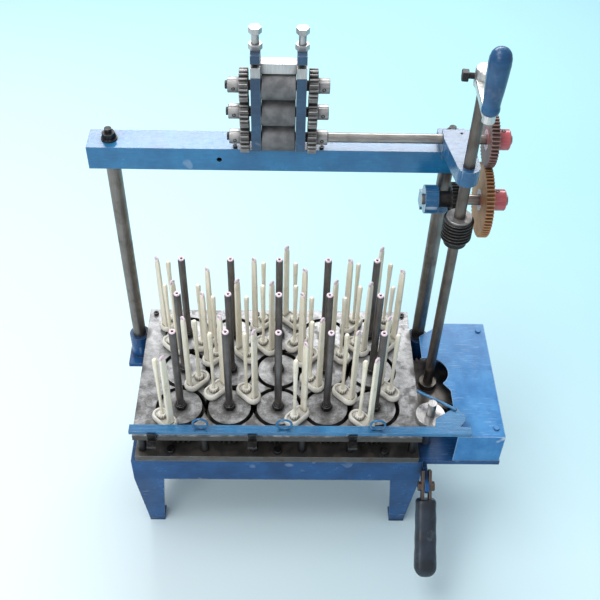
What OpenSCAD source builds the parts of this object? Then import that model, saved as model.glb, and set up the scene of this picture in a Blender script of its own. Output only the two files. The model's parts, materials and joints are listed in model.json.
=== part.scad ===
// Packing braiding machine. Fifteen horn gears stand in a five by three lattice under a slotted
// track plate and pass yarn carriers from gear to gear. A hand crank turns the lattice and, through
// a worm, the three draw-off rollers on the gantry. Millimetres, Z up, front of the machine at -Y.

/* [Lattice] */
// Distance between neighbouring horn gears
pitch = 90; // [84:1:96]
// Width of the track groove in the deck
groove_w = 7.4; // [6.4:0.1:8.4]
// Play between a carrier foot and the walls of its groove
foot_play = 0.3; // [0.2:0.05:0.6]
// Thickness of the track plate and of the quoits in it
track_t = 12; // [8:1:16]
// Clear height between base plate and track plate
gear_gap = 43; // [40:1:52]
// Thickness of the base plate
base_t = 15; // [10:1:22]
// Deck beyond the outer gear centres, left and right
deck_side = 83; // [80:1:90]
// Deck beyond the outer gear centres, front and back
deck_end = 68; // [64:1:76]
// Diameter of the fixed posts that the horn gears turn on
gear_post_d = 24; // [20:1:28]
// Width of the teeth of the horn gears
tooth_w = 16; // [12:1:18]

/* [Base frame] */
// Height of the legs
leg_h = 170; // [120:5:240]
// Width of a leg where it meets the rail
leg_top_w = 56; // [44:1:70]
// Width of a leg at the floor
leg_foot_w = 30; // [24:1:42]
// Height of the rails
rail_h = 60; // [45:1:80]
// Thickness of the rails and legs
rail_t = 8; // [5:1:12]
// Width of the flange on top of the rails
flange_w = 46; // [36:1:60]
// Reach of the drive bed beyond the right rail
bed_reach = 144; // [134:1:170]
// Thickness of the drive bed
bed_t = 10; // [6:1:14]

/* [Warp tubes] */
// Height of a warp tube above the deck
tube_h = 206; // [150:2:240]
// Outside diameter of a warp tube
tube_d = 13.5; // [11:0.5:18]
// Bore of a warp tube
tube_bore = 4; // [3:0.5:5]

/* [Carriers] */
// Height of the guide bar above the deck
bar_h = 190; // [150:2:230]
// Width of the guide bar
bar_w = 13; // [9:0.5:15]
// Thickness of the guide bar
bar_t = 6; // [4:0.5:8]
// Distance from the spindle to the guide bar
bar_lead = 24; // [20:0.5:26]
// Height of the spindle above the deck
spindle_h = 166; // [120:2:180]
// Thickness of the spindle at its top
spindle_d = 10; // [7:0.5:13]
// Half width of the carrier's foot casting
boat_r = 15; // [12:0.5:16]
// Height of the foot casting
boat_h = 15; // [10:1:17]

/* [Gantry] */
// Diameter of the posts
post_d = 25; // [20:1:28]
// Distance of the posts behind the deck's middle
post_y = 107.5; // [104:0.5:112]
// Height of the beam's underside above the deck
beam_rise = 417; // [400:1:520]
// Height of the beam
beam_h = 43; // [34:1:50]
// Depth of the beam
beam_d = 50; // [44:1:56]
// Wall of the beam
beam_wall = 5; // [3:0.5:8]
// Beam beyond the left post
beam_over = 35; // [28:1:60]

/* [Draw-off] */
// Diameter of the draw-off rollers
roller_d = 45; // [40:1:52]
// Gap between neighbouring rollers
nip = 2.5; // [1.5:0.5:5]
// Length of the rollers
roller_len = 53; // [40:1:70]
// Thickness of the side plates
cheek_t = 15; // [12:1:18]
// Depth of the side plates
cheek_d = 44; // [40:1:50]
// Diameter of the roller journals
journal_d = 16; // [12:1:18]
// Lift of the top roller when its screws are backed off
lift = 6; // [3:0.5:8]

/* [Drive] */
// Diameter of the upright drive shaft
shaft_d = 18; // [16:1:24]
// Distance of the drive shaft behind the deck's middle
shaft_y = -5; // [-12:1:18]
// Height of the drive shaft above the beam
shaft_rise = 205; // [180:1:240]
// Radius of the worm over its thread
worm_r = 25; // [18:0.5:26]
// Diameter of the cross shaft
cross_d = 18; // [14:1:20]
// Radius of the crank
crank_r = 92; // [70:1:110]
// Length of the crank's grip
grip_len = 98; // [80:1:120]
// Diameter of the crank's grip near its top
grip_d = 31; // [26:1:36]

/* [Stop motion] */
// Width of the stop bar
stop_w = 16; // [12:1:20]
// Thickness of the stop bar
stop_t = 8; // [5:1:10]
// Length of the hand lever from its pivot to the end of the grip
lever_len = 170; // [140:2:190]

/* [Cover] */
// Thickness of the sheet metal
sheet_t = 2.5; // [1.5:0.5:4]

/* [Hidden] */
$fn = 48;

// Names of the rows from front to back, and the compass points where a horn can hold a carrier
row_names = ["front", "middle", "back"];
column_count = 5;
NE = 45;
NW = 135;
SW = 225;
SE = 315;
carrier_places = [
    [[SW], [NW, NE], [SE], [NE], [SW, NE]],
    [[SE], [NE, NW], [], [NE, NW, SW], []],
    [[NW, SW, SE], [], [NE, NW, SW, SE], [], [NE, NW, SW, SE]]
];

// Running fit on radius, gap between pieces that slide past each other, and backlash of a mesh
fit = 0.05;
gap = 0.3;
backlash = 0.24;

// Depth that the members of a welded or cast piece run into each other
weld = 1;
// Seam between the welded members of the frame, and under the rings of the stop bar
seam = 0.05;

// Levels of the base
frame_top = leg_h + rail_h;
base_top = frame_top + base_t;
track_z = base_top + gear_gap;
deck_z = track_z + track_t;

// Plan of the base
deck_w = (column_count - 1) * pitch + 2 * deck_side;
deck_d = 2 * pitch + 2 * deck_end;
base_lip = 5;
frame_side = 9;
frame_w = deck_w + 2 * frame_side;
frame_d = deck_d + 2 * base_lip;
bed_end = frame_w / 2 + bed_reach;
column_d = 16;
column_inset = 13;
screw_head_d = 10;
screw_head_h = 5;
bed_front = -frame_d / 2 + 4;
bed_d = deck_d - 32;

// Track: circle of the carrier feet, quoits inside the groove, plate outside it
track_r = pitch * 0.478;
quoit_r = track_r - groove_w / 2;
track_hole_r = track_r + groove_w / 2;
foot_r = groove_w / 2 - foot_play;

// Carriers ride this far above the deck
carrier_rise = 1;

// Half thickness of the ceramic eyes on warp tubes and guide bars
eye_wire = 2;

// Horn gears and the drive gear that turns them
horn_teeth = 30;
gear_module = pitch / horn_teeth;
drive_teeth = 44;
drive_distance = gear_module * (horn_teeth + drive_teeth) / 2;
outer_gear_x = (column_count - 1) / 2 * pitch;
shaft_x = outer_gear_x + sqrt(drive_distance ^ 2 - shaft_y ^ 2);
gear_z = base_top + 5;
horn_hub_r = gear_post_d / 2 + 6;
horn_plate_t = 8;
horn_plate_z = gear_z + tooth_w + 4;
horn_plate_r = track_r + 0.5;

// Gantry
post_x = deck_w / 2 + 18;
beam_z = deck_z + beam_rise;
beam_top = beam_z + beam_h;
beam_right = post_x + post_d / 2 + 2;
beam_left = -post_x - beam_over;
boss_r = 20;
boss_h = base_t + 40;
boss_floor = 6;
tongue_foot_t = 12;

// Draw-off rollers
draw_x = -3;
roller_step = roller_d + nip;
draw_y = post_y - 27;
pinion_teeth = 19;
pinion_module = roller_step / pinion_teeth;
roller_z = beam_top + tip_radius(pinion_module, pinion_teeth) + 1.5;
top_roller_z = roller_z + 2 * roller_step;
pinion_w = 14;
pinion_hub_w = 18;
cheek_in = roller_len / 2 + 1;
cheek_out = cheek_in + cheek_t;
pinion_in = cheek_out + 4;
journal_end = pinion_in + pinion_w + pinion_hub_w;
block_w = 24;
block_low = top_roller_z - 13;
block_high = top_roller_z + roller_d / 2 + 16;
slot_low = block_low - 1;
slot_high = block_high + lift + 4;
cheek_top = slot_high + 14;
yoke_low = top_roller_z + roller_d / 2 + 2.5;
yoke_h = 17;
screw_d = 12;
lock_nut_h = 9;
screw_head_z = cheek_top + lock_nut_h + 17;

// Worm drive and change gears
wheel_teeth = 28;
wheel_tip_r = 29;
worm_clear = 0.4;
worm_above = 10;
cross_y = shaft_y + worm_r + wheel_tip_r + worm_clear;
change_module = 2;
lower_teeth = 61;
upper_teeth = 43;
change_distance = change_module * (lower_teeth + upper_teeth) / 2;
cross_z = roller_z - sqrt(change_distance ^ 2 - (draw_y - cross_y) ^ 2);
change_x = shaft_x + 41;
change_w = 13;
lower_hub_w = 30;
upper_hub_w = 24;
shaft_stub = 4;
cross_bearing_w = 22;
wheel_w = 16;
wheel_hub_w = 21;
cross_bearing_x = shaft_x - wheel_w / 2 - wheel_hub_w - gap - cross_bearing_w;
cross_left = cross_bearing_x - shaft_stub;
cross_right = change_x + change_w + lower_hub_w + shaft_stub;

// Crank
shaft_top = beam_top + shaft_rise;
crank_hub_h = 30;
crank_hub_r = shaft_d / 2 + 8;
crank_arm_t = 14;
crank_pin_r = 5;
crank_turn = -6;
crank_pin = [shaft_x + crank_r * sin(crank_turn), shaft_y - crank_r * cos(crank_turn)];
grip_z = shaft_top - 8 + gap;

// Stop motion at the front
stud_x = frame_w / 2 + 9;
stud_y = -deck_d / 2 + 46;
stud_d = 16;
stop_overrun = 67;
stop_z = deck_z + boat_h + 5;
stop_y = -deck_d / 2 - stop_w / 2 + 6;
stop_left = -deck_w / 2 - 2;
stop_right = stud_x + stop_overrun;
ring_r = 13;
ring_x = [-1.53, 0.13, 1.98];
ring_wire = 2;
ring_sink = 1;
ring_z = stop_z + stop_t - ring_sink + ring_wire + ring_r;
rest_w = 16;

// Hand lever
lever_x = frame_w / 2 + 5;
lever_pivot_y = -frame_d / 2 - 34;
lever_pivot_z = frame_top - 26;
lever_tilt = 45;
lever_end_r = 21;
lug_t = 8;
strip_t = 5;
strip_w = 18;
lever_bolt_d = 10;
lever_grip_len = 146;
strip_in = lug_t / 2 + gap;
strip_len = lever_len - lever_grip_len + 40;

// Cover over the drive gear
cover_right = bed_end - 2;
cover_back = deck_d / 2 - 36;
cover_front = -deck_d / 2;
cover_top = deck_z + 5;
cover_hole_r = 36;
cover_left = shaft_x + cover_hole_r;
cover_lap = 11;
cover_notch_back = cover_back - 36;
cover_notch_middle = cover_back - 107;
cover_notch_front = cover_front + 108;

// The machine stands with the middle of its box over the origin
lever_end_y = lever_pivot_y - (lever_len - lever_end_r) * cos(lever_tilt) - lever_end_r;
middle_x = (beam_left + bed_end) / 2;
middle_y = (lever_end_y + frame_d / 2) / 2;

module centred() {
    translate([-middle_x, -middle_y, 0]) children();
}

// Side of a gear wheel's tooth: half the angle of the tooth at radius r, for a twenty degree involute
function unwind(angle) = tan(angle) - angle * PI / 180;
function half_tooth(r, m, teeth) =
    let (pitch_r = m * teeth / 2)
    let (base_r = pitch_r * cos(20))
    let (lean = r > base_r ? acos(base_r / r) : 0)
    90 / teeth - backlash / 4 / pitch_r * 180 / PI + (unwind(20) - unwind(lean)) * 180 / PI;

// Radius of a wheel over its tooth tips
function tip_radius(m, teeth) = m * (teeth / 2 + 0.95);

// Corner points of one flank, from root to tip; side -1 is the flank that comes first
function flank(m, teeth, angle, side) =
    let (pitch_r = m * teeth / 2)
    [for (r = [pitch_r - 1.25 * m, pitch_r, pitch_r + 0.5 * m, tip_radius(m, teeth)])
        let (a = angle + side * half_tooth(r, m, teeth))
        [r * cos(a), r * sin(a)]];

// Corner points of one tooth that points along the given angle
function tooth(m, teeth, angle) =
    let (falling = flank(m, teeth, angle, 1))
    concat(flank(m, teeth, angle, -1), [for (k = [len(falling) - 1 : -1 : 0]) falling[k]]);

// Outline of a wheel whose first tooth points along the given angle
module wheel_outline(m, teeth, angle = 0) {
    polygon([for (k = [0 : teeth - 1]) each tooth(m, teeth, angle + k * 360 / teeth)]);
}

// Toothed rim with flat faces only, open in the middle for its hub
module toothed_rim(m, teeth, width, hub_r, angle = 0) {
    linear_extrude(width)
        difference() {
            wheel_outline(m, teeth, angle);
            circle(r = hub_r + fit, $fn = 12);
        }
}

// Hub with a twelve-sided outside that carries a rim
module rim_hub(hub_r, bore_r, length) {
    linear_extrude(length)
        difference() {
            circle(r = hub_r, $fn = 12);
            circle(r = bore_r);
        }
}

// Bar with round ends between two points of a plane
module round_bar_2d(from, to, r) {
    run = to - from;
    length = norm(run);
    translate(from) rotate(atan2(run.y, run.x)) {
        circle(r = r);
        translate([0, -r]) square([length, 2 * r]);
        translate([length, 0]) circle(r = r);
    }
}

// Put a child, drawn with its axis along Z, along X at the given place
module along_x(x, y, z) {
    translate([x, y, z]) rotate([90, 0, 90]) children();
}

// Place of a horn gear, with column 1 at the left and row 0 at the front
function gear_at(column, row) = [(column - 3) * pitch, (row - 1) * pitch];

// Neighbouring gears turn opposite ways: +1 is anticlockwise seen from above
function turn_of(column, row) = (column + row) % 2 == 1 ? 1 : -1;

module at_every_gear() {
    for (row = [0 : 2])
        for (column = [1 : column_count])
            translate(gear_at(column, row)) children();
}

// The star-shaped islands of the track plate lie between four gears
module at_every_island() {
    for (x = [-1.5 : 1 : 1.5])
        for (y = [-0.5, 0.5])
            translate([x * pitch, y * pitch]) children();
}

// Rim of the track plate outside the gears, front and back and at the corners
module at_every_rim_column() {
    for (side = [-1, 1]) {
        for (x = [-1.5 : 1 : 1.5])
            translate([x * pitch, side * (deck_d / 2 - column_inset)]) children();
        for (x = [-1, 1])
            translate([x * (deck_w / 2 - column_inset), side * (deck_d / 2 - column_inset)]) children();
    }
}

// One leg: an angle section that narrows toward the floor
module leg() {
    foot_plate_t = 6;
    translate([0, 0, leg_h - seam])
        mirror([0, 0, 1])
            linear_extrude(leg_h - seam - foot_plate_t, scale = leg_foot_w / leg_top_w)
                difference() {
                    square(leg_top_w, center = true);
                    translate([-leg_top_w / 2 - rail_t, -leg_top_w / 2 - rail_t]) square(leg_top_w);
                }
    translate([-leg_foot_w / 2, -leg_foot_w / 2, 0]) cube([leg_foot_w, leg_foot_w, foot_plate_t]);
}

// Four rails with a flange turned in at the top, butted where the side rails meet the flanges
module rails() {
    difference() {
        translate([-frame_w / 2, -frame_d / 2, leg_h]) cube([frame_w, frame_d, rail_h]);
        translate([-frame_w / 2 + rail_t, -frame_d / 2 + rail_t, leg_h - 1])
            cube([frame_w - 2 * rail_t, frame_d - 2 * rail_t, rail_h - rail_t + 1]);
        translate([-frame_w / 2 + flange_w, -frame_d / 2 + flange_w, leg_h - 1])
            cube([frame_w - 2 * flange_w, frame_d - 2 * flange_w, rail_h + 2]);
        for (side = [-1, 1])
            translate([-frame_w / 2 - 1, side * (frame_d / 2 - flange_w) - seam / 2, leg_h - 1])
                cube([frame_w + 2, seam, rail_h + 2]);
    }
}

// Shelf on the right rail that carries the drive shaft and the stop stud
module drive_bed() {
    rib_reach = bed_reach * 0.8;
    rib_set_back = 70;
    difference() {
        translate([frame_w / 2 + seam, bed_front, frame_top - bed_t]) cube([bed_reach - seam, bed_d, bed_t]);
        translate([shaft_x, shaft_y, frame_top - bed_t - 1]) cylinder(d = shaft_d + 2 * fit, h = bed_t + 2);
    }
    for (y = [bed_front + rib_set_back, bed_front + bed_d - rail_t])
        translate([frame_w / 2 + seam, y + rail_t, frame_top - bed_t])
            rotate([90, 0, 0])
                linear_extrude(rail_t)
                    polygon([[0, weld], [rib_reach, weld], [0, bed_t - rail_h]]);
}

// Footstep bearing of the drive shaft
module footstep() {
    wall = 12;
    translate([shaft_x, shaft_y, frame_top + seam])
        difference() {
            cylinder(r = shaft_d / 2 + wall, h = base_t - seam);
            translate([0, 0, -1]) cylinder(d = shaft_d + 2 * fit, h = base_t + 2);
        }
}

// Blue boss on a lug of the frame that holds the foot of a gantry post
module post_boss(side) {
    lug_d = 70;
    lug_reach = post_x + boss_r + 4 - frame_w / 2;
    lug_x = side > 0 ? frame_w / 2 + seam : -frame_w / 2 - lug_reach;
    translate([lug_x, post_y - lug_d / 2, frame_top - bed_t]) cube([lug_reach - seam, lug_d, bed_t]);
    translate([side * post_x, post_y, frame_top])
        difference() {
            translate([0, 0, seam]) cylinder(r = boss_r, h = boss_h - seam);
            translate([0, 0, boss_floor]) cylinder(d = post_d, h = boss_h);
        }
}

// Lug in front of the right leg that the hand lever swings on
module lever_lug() {
    lug_r = 13;
    root_d = 30;
    root_h = frame_top - bed_t + weld - lever_pivot_z + lug_r;
    pivot = [lever_pivot_y, lever_pivot_z];
    translate([lever_x - lug_t / 2, 0, 0])
        rotate([90, 0, 90])
            linear_extrude(lug_t)
                difference() {
                    union() {
                        round_bar_2d(pivot, [bed_front + weld, lever_pivot_z], lug_r);
                        translate([bed_front, lever_pivot_z - lug_r]) square([root_d, root_h]);
                    }
                    translate(pivot) circle(d = lever_bolt_d + 2 * fit);
                }
}

// Welded blue frame: rails, legs, drive bed, post bosses and lever lug
module base_frame() {
    color("royalblue") {
        rails();
        for (x = [0, 1])
            for (y = [0, 1])
                mirror([x, 0, 0])
                    mirror([0, y, 0])
                        translate([frame_w / 2 - leg_top_w / 2, frame_d / 2 - leg_top_w / 2, 0]) leg();
        drive_bed();
        footstep();
        post_boss(-1);
        post_boss(1);
        lever_lug();
    }
}

// Lower steel plate, bored under every gear for the warp yarn
module base_plate() {
    color("darkgray")
        translate([0, 0, frame_top])
            linear_extrude(base_t)
                difference() {
                    translate([-deck_w / 2, -frame_d / 2]) square([deck_w, frame_d]);
                    at_every_gear() circle(d = tube_bore + 2);
                    for (side = [-1, 1])
                        translate([side * post_x, post_y]) circle(r = boss_r + gap);
                }
}

// Upper steel plate: a rim and eight islands, parted by the grooves around the quoits
module track_plate() {
    color("silver")
        difference() {
            translate([0, 0, track_z])
                linear_extrude(track_t)
                    difference() {
                        translate([-deck_w / 2, -deck_d / 2]) square([deck_w, deck_d]);
                        at_every_gear() circle(r = track_hole_r);
                    }
            translate([0, 0, deck_z - screw_head_h])
                at_every_island() cylinder(d = screw_head_d, h = track_t);
        }
}

// Columns that hold the track plate above the base plate
module spacer_columns() {
    color("dimgray")
        translate([0, 0, base_top]) {
            at_every_island() cylinder(d = column_d, h = gear_gap);
            at_every_rim_column() cylinder(d = column_d, h = gear_gap);
        }
}

// Hollow posts that the horn gears turn on, each with its quoit in the deck
module gear_posts() {
    color("gainsboro")
        at_every_gear()
            difference() {
                union() {
                    translate([0, 0, base_top]) cylinder(d = gear_post_d, h = gear_gap + 0.5);
                    translate([0, 0, track_z]) cylinder(r = quoit_r, h = track_t);
                }
                translate([0, 0, base_top - 1]) cylinder(d = tube_bore, h = gear_gap + track_t + 2);
            }
}

// Ceramic ring that a yarn runs through
module yarn_eye(r) {
    rotate_extrude()
        translate([r, 0]) circle(r = eye_wire, $fn = 24);
}

// Warp tube with its lock nut at the deck and a ceramic eyelet on top
module warp_tube() {
    nut_w = 22;
    nut_h = 10;
    collar_h = 3.5;
    difference() {
        union() {
            cylinder(d = tube_d, h = tube_h);
            cylinder(d = nut_w, h = nut_h, $fn = 6);
            cylinder(d = nut_w - 4, h = nut_h + collar_h);
        }
        translate([0, 0, -1]) cylinder(d = tube_bore, h = tube_h + 2);
    }
    translate([0, 0, tube_h + eye_wire * 0.7]) yarn_eye(tube_bore / 2 + eye_wire);
}

module warp_tubes() {
    color("slategray")
        translate([0, 0, deck_z])
            at_every_gear() warp_tube();
}

// Screw head with a hexagon socket
module socket_head(d, h) {
    difference() {
        cylinder(d = d, h = h);
        translate([0, 0, h / 2]) cylinder(d = d * 0.55, h = h, $fn = 6);
    }
}

// Stud end with washer and hexagon nut
module stud_nut(d) {
    cylinder(d = d * 2.2, h = 2.5);
    translate([0, 0, 2.4]) cylinder(d = d * 1.9, h = d * 0.85, $fn = 6);
    cylinder(d = d, h = d * 1.7);
}

// Strip on the deck's front edge with the saddle that the stop bar slides in
module stop_rest() {
    strip_d = 40;
    strip_h = 4;
    overhang = 16;
    lip = 3;
    slot_w = stop_w + 2 * fit;
    translate([-rest_w / 2, -overhang, 0]) cube([rest_w, strip_d, strip_h]);
    translate([-rest_w / 2, -fit, 0])
        difference() {
            translate([0, -lip, 0]) cube([rest_w, slot_w + 2 * lip, stop_z - deck_z + lip]);
            translate([-1, 0, stop_z - deck_z - gap]) cube([rest_w + 2, slot_w, stop_t]);
        }
}

// Screws, nuts and rests that stay put
module fasteners() {
    base_bolt_y = -frame_d / 2 + 12;
    base_bolt_d = 15;
    stud_size = 12;
    beam_screw_d = 7;
    beam_screw_x = journal_end - 8;
    cover_screw_in = 14;
    cover_screw_y = [cover_front + 20, cover_back - 20];
    color("darkslategray") {
        translate([0, 0, deck_z]) {
            translate([0, 0, -screw_head_h])
                at_every_island() socket_head(screw_head_d, screw_head_h + carrier_rise / 2);
            at_every_rim_column() socket_head(screw_head_d, screw_head_h);
        }
        for (x = [-2.2, 0, 2.2])
            translate([x * pitch, base_bolt_y, base_top]) cylinder(d = base_bolt_d, h = base_bolt_d * 0.6);
        translate([-post_x, post_y, beam_top]) stud_nut(stud_size);
        translate([post_x, post_y, beam_top + tongue_foot_t]) stud_nut(stud_size);
        for (side = [-1, 1])
            translate([draw_x + side * beam_screw_x, post_y - beam_d / 2 + beam_screw_d, beam_top])
                socket_head(beam_screw_d, beam_screw_d / 2);
        for (side = [-1, 1])
            translate([draw_x + side * (cheek_in + cheek_t / 2), draw_y, cheek_top])
                difference() {
                    cylinder(d = screw_d * 1.8, h = lock_nut_h, $fn = 6);
                    translate([0, 0, -1]) cylinder(d = screw_d + 2 * fit, h = lock_nut_h + 2);
                }
        for (x = [-2.5, -0.5, 1.5])
            translate([x * pitch, stop_y - stop_w / 2, deck_z]) stop_rest();
        for (y = cover_screw_y)
            translate([cover_right - cover_screw_in, y, cover_top]) cylinder(d = screw_head_d, h = 3);
    }
}

// Steel posts of the gantry
module posts() {
    color("gray")
        for (side = [-1, 1])
            translate([side * post_x, post_y, frame_top + boss_floor])
                cylinder(d = post_d, h = beam_z - frame_top - boss_floor);
}

// Hollow beam across the posts
module beam() {
    tap_hole_x = -100;
    tap_hole_d = 9;
    outside = [beam_right - beam_left, beam_d, beam_h];
    wall = [beam_wall, beam_wall, beam_wall];
    color("royalblue")
        translate([beam_left, post_y - beam_d / 2, beam_z])
            difference() {
                cube(outside);
                translate(wall) cube(outside - 2 * wall);
                translate([tap_hole_x - beam_left, -1, beam_h / 2])
                    rotate([-90, 0, 0]) cylinder(d = tap_hole_d, h = beam_wall + 2);
            }
}

// Side plate of the draw-off: two bearing bores, a slot for the top roller's block with an opening
// to the front for the yoke's shoulder, and a slant at the foot that ends at the beam's front edge
module cheek() {
    front = draw_y - cheek_d / 2;
    slant_h = 14;
    beam_front = post_y - beam_d / 2;
    difference() {
        rotate([90, 0, 90])
            linear_extrude(cheek_t)
                polygon([[beam_front, beam_top], [front + cheek_d, beam_top], [front + cheek_d, cheek_top],
                         [front, cheek_top], [front, beam_top + slant_h]]);
        for (z = [roller_z, roller_z + roller_step])
            along_x(-1, draw_y, z) cylinder(d = journal_d + 2 * fit, h = cheek_t + 2);
        translate([-1, draw_y - block_w / 2, slot_low]) cube([cheek_t + 2, block_w, slot_high - slot_low]);
        translate([-1, front - 1, yoke_low - gap])
            cube([cheek_t + 2, cheek_d / 2, slot_high - yoke_low + gap]);
        translate([cheek_t / 2, draw_y, slot_high - 1])
            cylinder(d = screw_d + 2 * fit, h = cheek_top - slot_high + 2);
    }
}

module draw_off_cheeks() {
    color("royalblue") {
        translate([draw_x - cheek_out, 0, 0]) cheek();
        translate([draw_x + cheek_in, 0, 0]) cheek();
    }
}

// Cast tongue on the beam's right end: its nose holds the drive shaft, and the bottom roller's
// shaft runs through its root
module shaft_tongue() {
    nose_r = shaft_d / 2 + 9;
    arm_h = 28;
    root_wall = 3;
    arm_top = roller_z + journal_d / 2 + root_wall;
    root_back = draw_y + journal_d / 2 + root_wall;
    left = shaft_x - 30;
    right = shaft_x + 15;
    oil_hole_d = 5;
    difference() {
        union() {
            translate([0, 0, arm_top - arm_h])
                linear_extrude(arm_h) {
                    polygon([[left, root_back], [right, root_back], [right, draw_y - journal_d],
                             [shaft_x + nose_r, shaft_y], [shaft_x - nose_r, shaft_y],
                             [left, draw_y - journal_d]]);
                    translate([shaft_x, shaft_y]) circle(r = nose_r);
                }
            translate([left, draw_y - journal_d, beam_top])
                cube([right - left, post_y + beam_d / 2 - draw_y + journal_d, tongue_foot_t]);
        }
        translate([shaft_x, shaft_y, arm_top - arm_h - 1]) cylinder(d = shaft_d + 2 * fit, h = arm_h + 2);
        along_x(left - 1, draw_y, roller_z) cylinder(d = journal_d + 2 * fit, h = right - left + 2);
        translate([shaft_x, draw_y, roller_z]) cylinder(d = oil_hole_d, h = arm_h);
    }
}

// Bearing of the cross shaft, clamped to the right post below the worm wheel
module cross_bearing() {
    clamp_z = cross_z - wheel_tip_r - 32;
    clamp_h = 26;
    clamp_r = post_d / 2 + 9;
    arm_x = cross_bearing_x + 4;
    arm_t = cross_bearing_w - 4;
    bearing_r = cross_d / 2 + 15;
    difference() {
        union() {
            translate([post_x, post_y, clamp_z]) cylinder(r = clamp_r, h = clamp_h);
            translate([arm_x, post_y - clamp_h / 2, clamp_z]) cube([post_x - arm_x, clamp_h, clamp_h]);
            translate([arm_x, 0, 0])
                rotate([90, 0, 90])
                    linear_extrude(arm_t)
                        round_bar_2d([post_y, clamp_z + clamp_h / 2], [cross_y, cross_z], clamp_h / 2);
            along_x(cross_bearing_x, cross_y, cross_z) cylinder(r = bearing_r, h = cross_bearing_w);
        }
        translate([post_x, post_y, clamp_z - clamp_h]) cylinder(d = post_d, h = 3 * clamp_h);
        along_x(cross_left, cross_y, cross_z) cylinder(d = cross_d + 2 * fit, h = 2 * cross_bearing_w);
    }
}

module bearing_brackets() {
    color("royalblue") {
        shaft_tongue();
        cross_bearing();
    }
}

// Plan of the cover's top, with the opening where the drive shaft comes through
module cover_plan() {
    difference() {
        polygon([[cover_right, cover_front], [cover_right, cover_back], [cover_left + 4, cover_back],
                 [shaft_x - cover_lap, cover_notch_back], [shaft_x - cover_lap, cover_notch_middle],
                 [cover_left, cover_notch_front], [cover_left, cover_front]]);
        translate([shaft_x, shaft_y]) circle(r = cover_hole_r);
    }
}

// Sheet-metal cover over the drive gear, open toward the lattice
module side_cover() {
    color("dodgerblue") {
        translate([0, 0, cover_top - sheet_t]) linear_extrude(sheet_t) cover_plan();
        translate([cover_left, cover_front, frame_top])
            linear_extrude(cover_top - frame_top - sheet_t / 2)
                difference() {
                    square([cover_right - cover_left, cover_back - cover_front]);
                    translate([-sheet_t, sheet_t])
                        square([cover_right - cover_left, cover_back - cover_front - 2 * sheet_t]);
                }
    }
}

// Fixed stud with a polished disc, beside the slant of the stop bar's plate
module stop_stud() {
    pillar_r = 10;
    disc_z = deck_z - frame_top + 2;
    disc_r = 27;
    disc_t = 10;
    stud_rise = 33;
    color("lightgray")
        translate([stud_x, stud_y, frame_top]) {
            cylinder(r = pillar_r, h = disc_z + weld);
            translate([0, 0, disc_z]) cylinder(r = disc_r, h = disc_t);
            translate([0, 0, disc_z]) cylinder(d = stud_d, h = disc_t + stud_rise);
        }
}

// Toothed rim, hub and notched horn plate of one gear
module horn_gear(column, row) {
    half_tooth_step = 180 / horn_teeth;
    color("lightsteelblue")
        translate(gear_at(column, row)) {
            translate([0, 0, gear_z])
                toothed_rim(gear_module, horn_teeth, tooth_w, horn_hub_r,
                            turn_of(column, row) > 0 ? 0 : half_tooth_step);
            translate([0, 0, base_top + gap])
                rim_hub(horn_hub_r, gear_post_d / 2 + fit, gear_gap - 2 * gap);
            translate([0, 0, horn_plate_z])
                linear_extrude(horn_plate_t)
                    difference() {
                        circle(r = horn_plate_r);
                        circle(r = horn_hub_r + fit, $fn = 12);
                        for (a = [NE, NW, SW, SE])
                            rotate(a) round_bar_2d([track_r, 0], [track_r + 10, 0], foot_r + 0.5);
                    }
        }
}

// One carrier on the track circle of its gear; the guide bar leads the spindle
module carrier(place, turn) {
    crown_r = 9;
    crown_h = 6;
    crown_spikes = 8;
    sole_h = boat_h * 0.45;
    bar_root = boat_h - 4;
    spindle_len = spindle_h - boat_h;
    rotate(place)
        translate([track_r, 0, deck_z])
            rotate(turn > 0 ? 90 : -90) {
                translate([0, 0, carrier_rise])
                    linear_extrude(sole_h)
                        round_bar_2d([-6, 0], [bar_lead - 6, 0], boat_r);
                translate([0, 0, carrier_rise])
                    linear_extrude(boat_h)
                        round_bar_2d([-4, 0], [bar_lead - 4, 0], boat_r - 4);
                translate([0, 0, boat_h])
                    linear_extrude(crown_h)
                        polygon([for (k = [0 : 2 * crown_spikes - 1])
                            let (r = k % 2 == 0 ? crown_r : crown_r - 3)
                            let (a = k * 180 / crown_spikes)
                            [r * cos(a), r * sin(a)]]);
                translate([0, 0, boat_h]) cylinder(d1 = spindle_d * 0.6, d2 = spindle_d, h = spindle_len);
                translate([0, 0, spindle_h]) sphere(d = spindle_d, $fn = 24);
                translate([bar_lead, 0, 0]) {
                    translate([-bar_t / 2, -bar_w / 2, bar_root]) cube([bar_t, bar_w, bar_h - bar_root]);
                    translate([0, 0, bar_h + eye_wire * 1.5]) rotate([0, 90, 0]) yarn_eye(2 * eye_wire);
                }
                translate([0, 0, horn_plate_z - deck_z - 1])
                    cylinder(r = foot_r, h = deck_z - horn_plate_z + 4);
            }
}

module carriers(column, row) {
    color("ivory")
        translate(gear_at(column, row))
            for (place = carrier_places[row][column - 1])
                carrier(place, turn_of(column, row));
}

// Upright shaft from the footstep to the crank
module drive_shaft() {
    color("gray")
        translate([shaft_x, shaft_y, frame_top - bed_t])
            cylinder(d = shaft_d, h = shaft_top - frame_top + bed_t);
}

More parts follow.
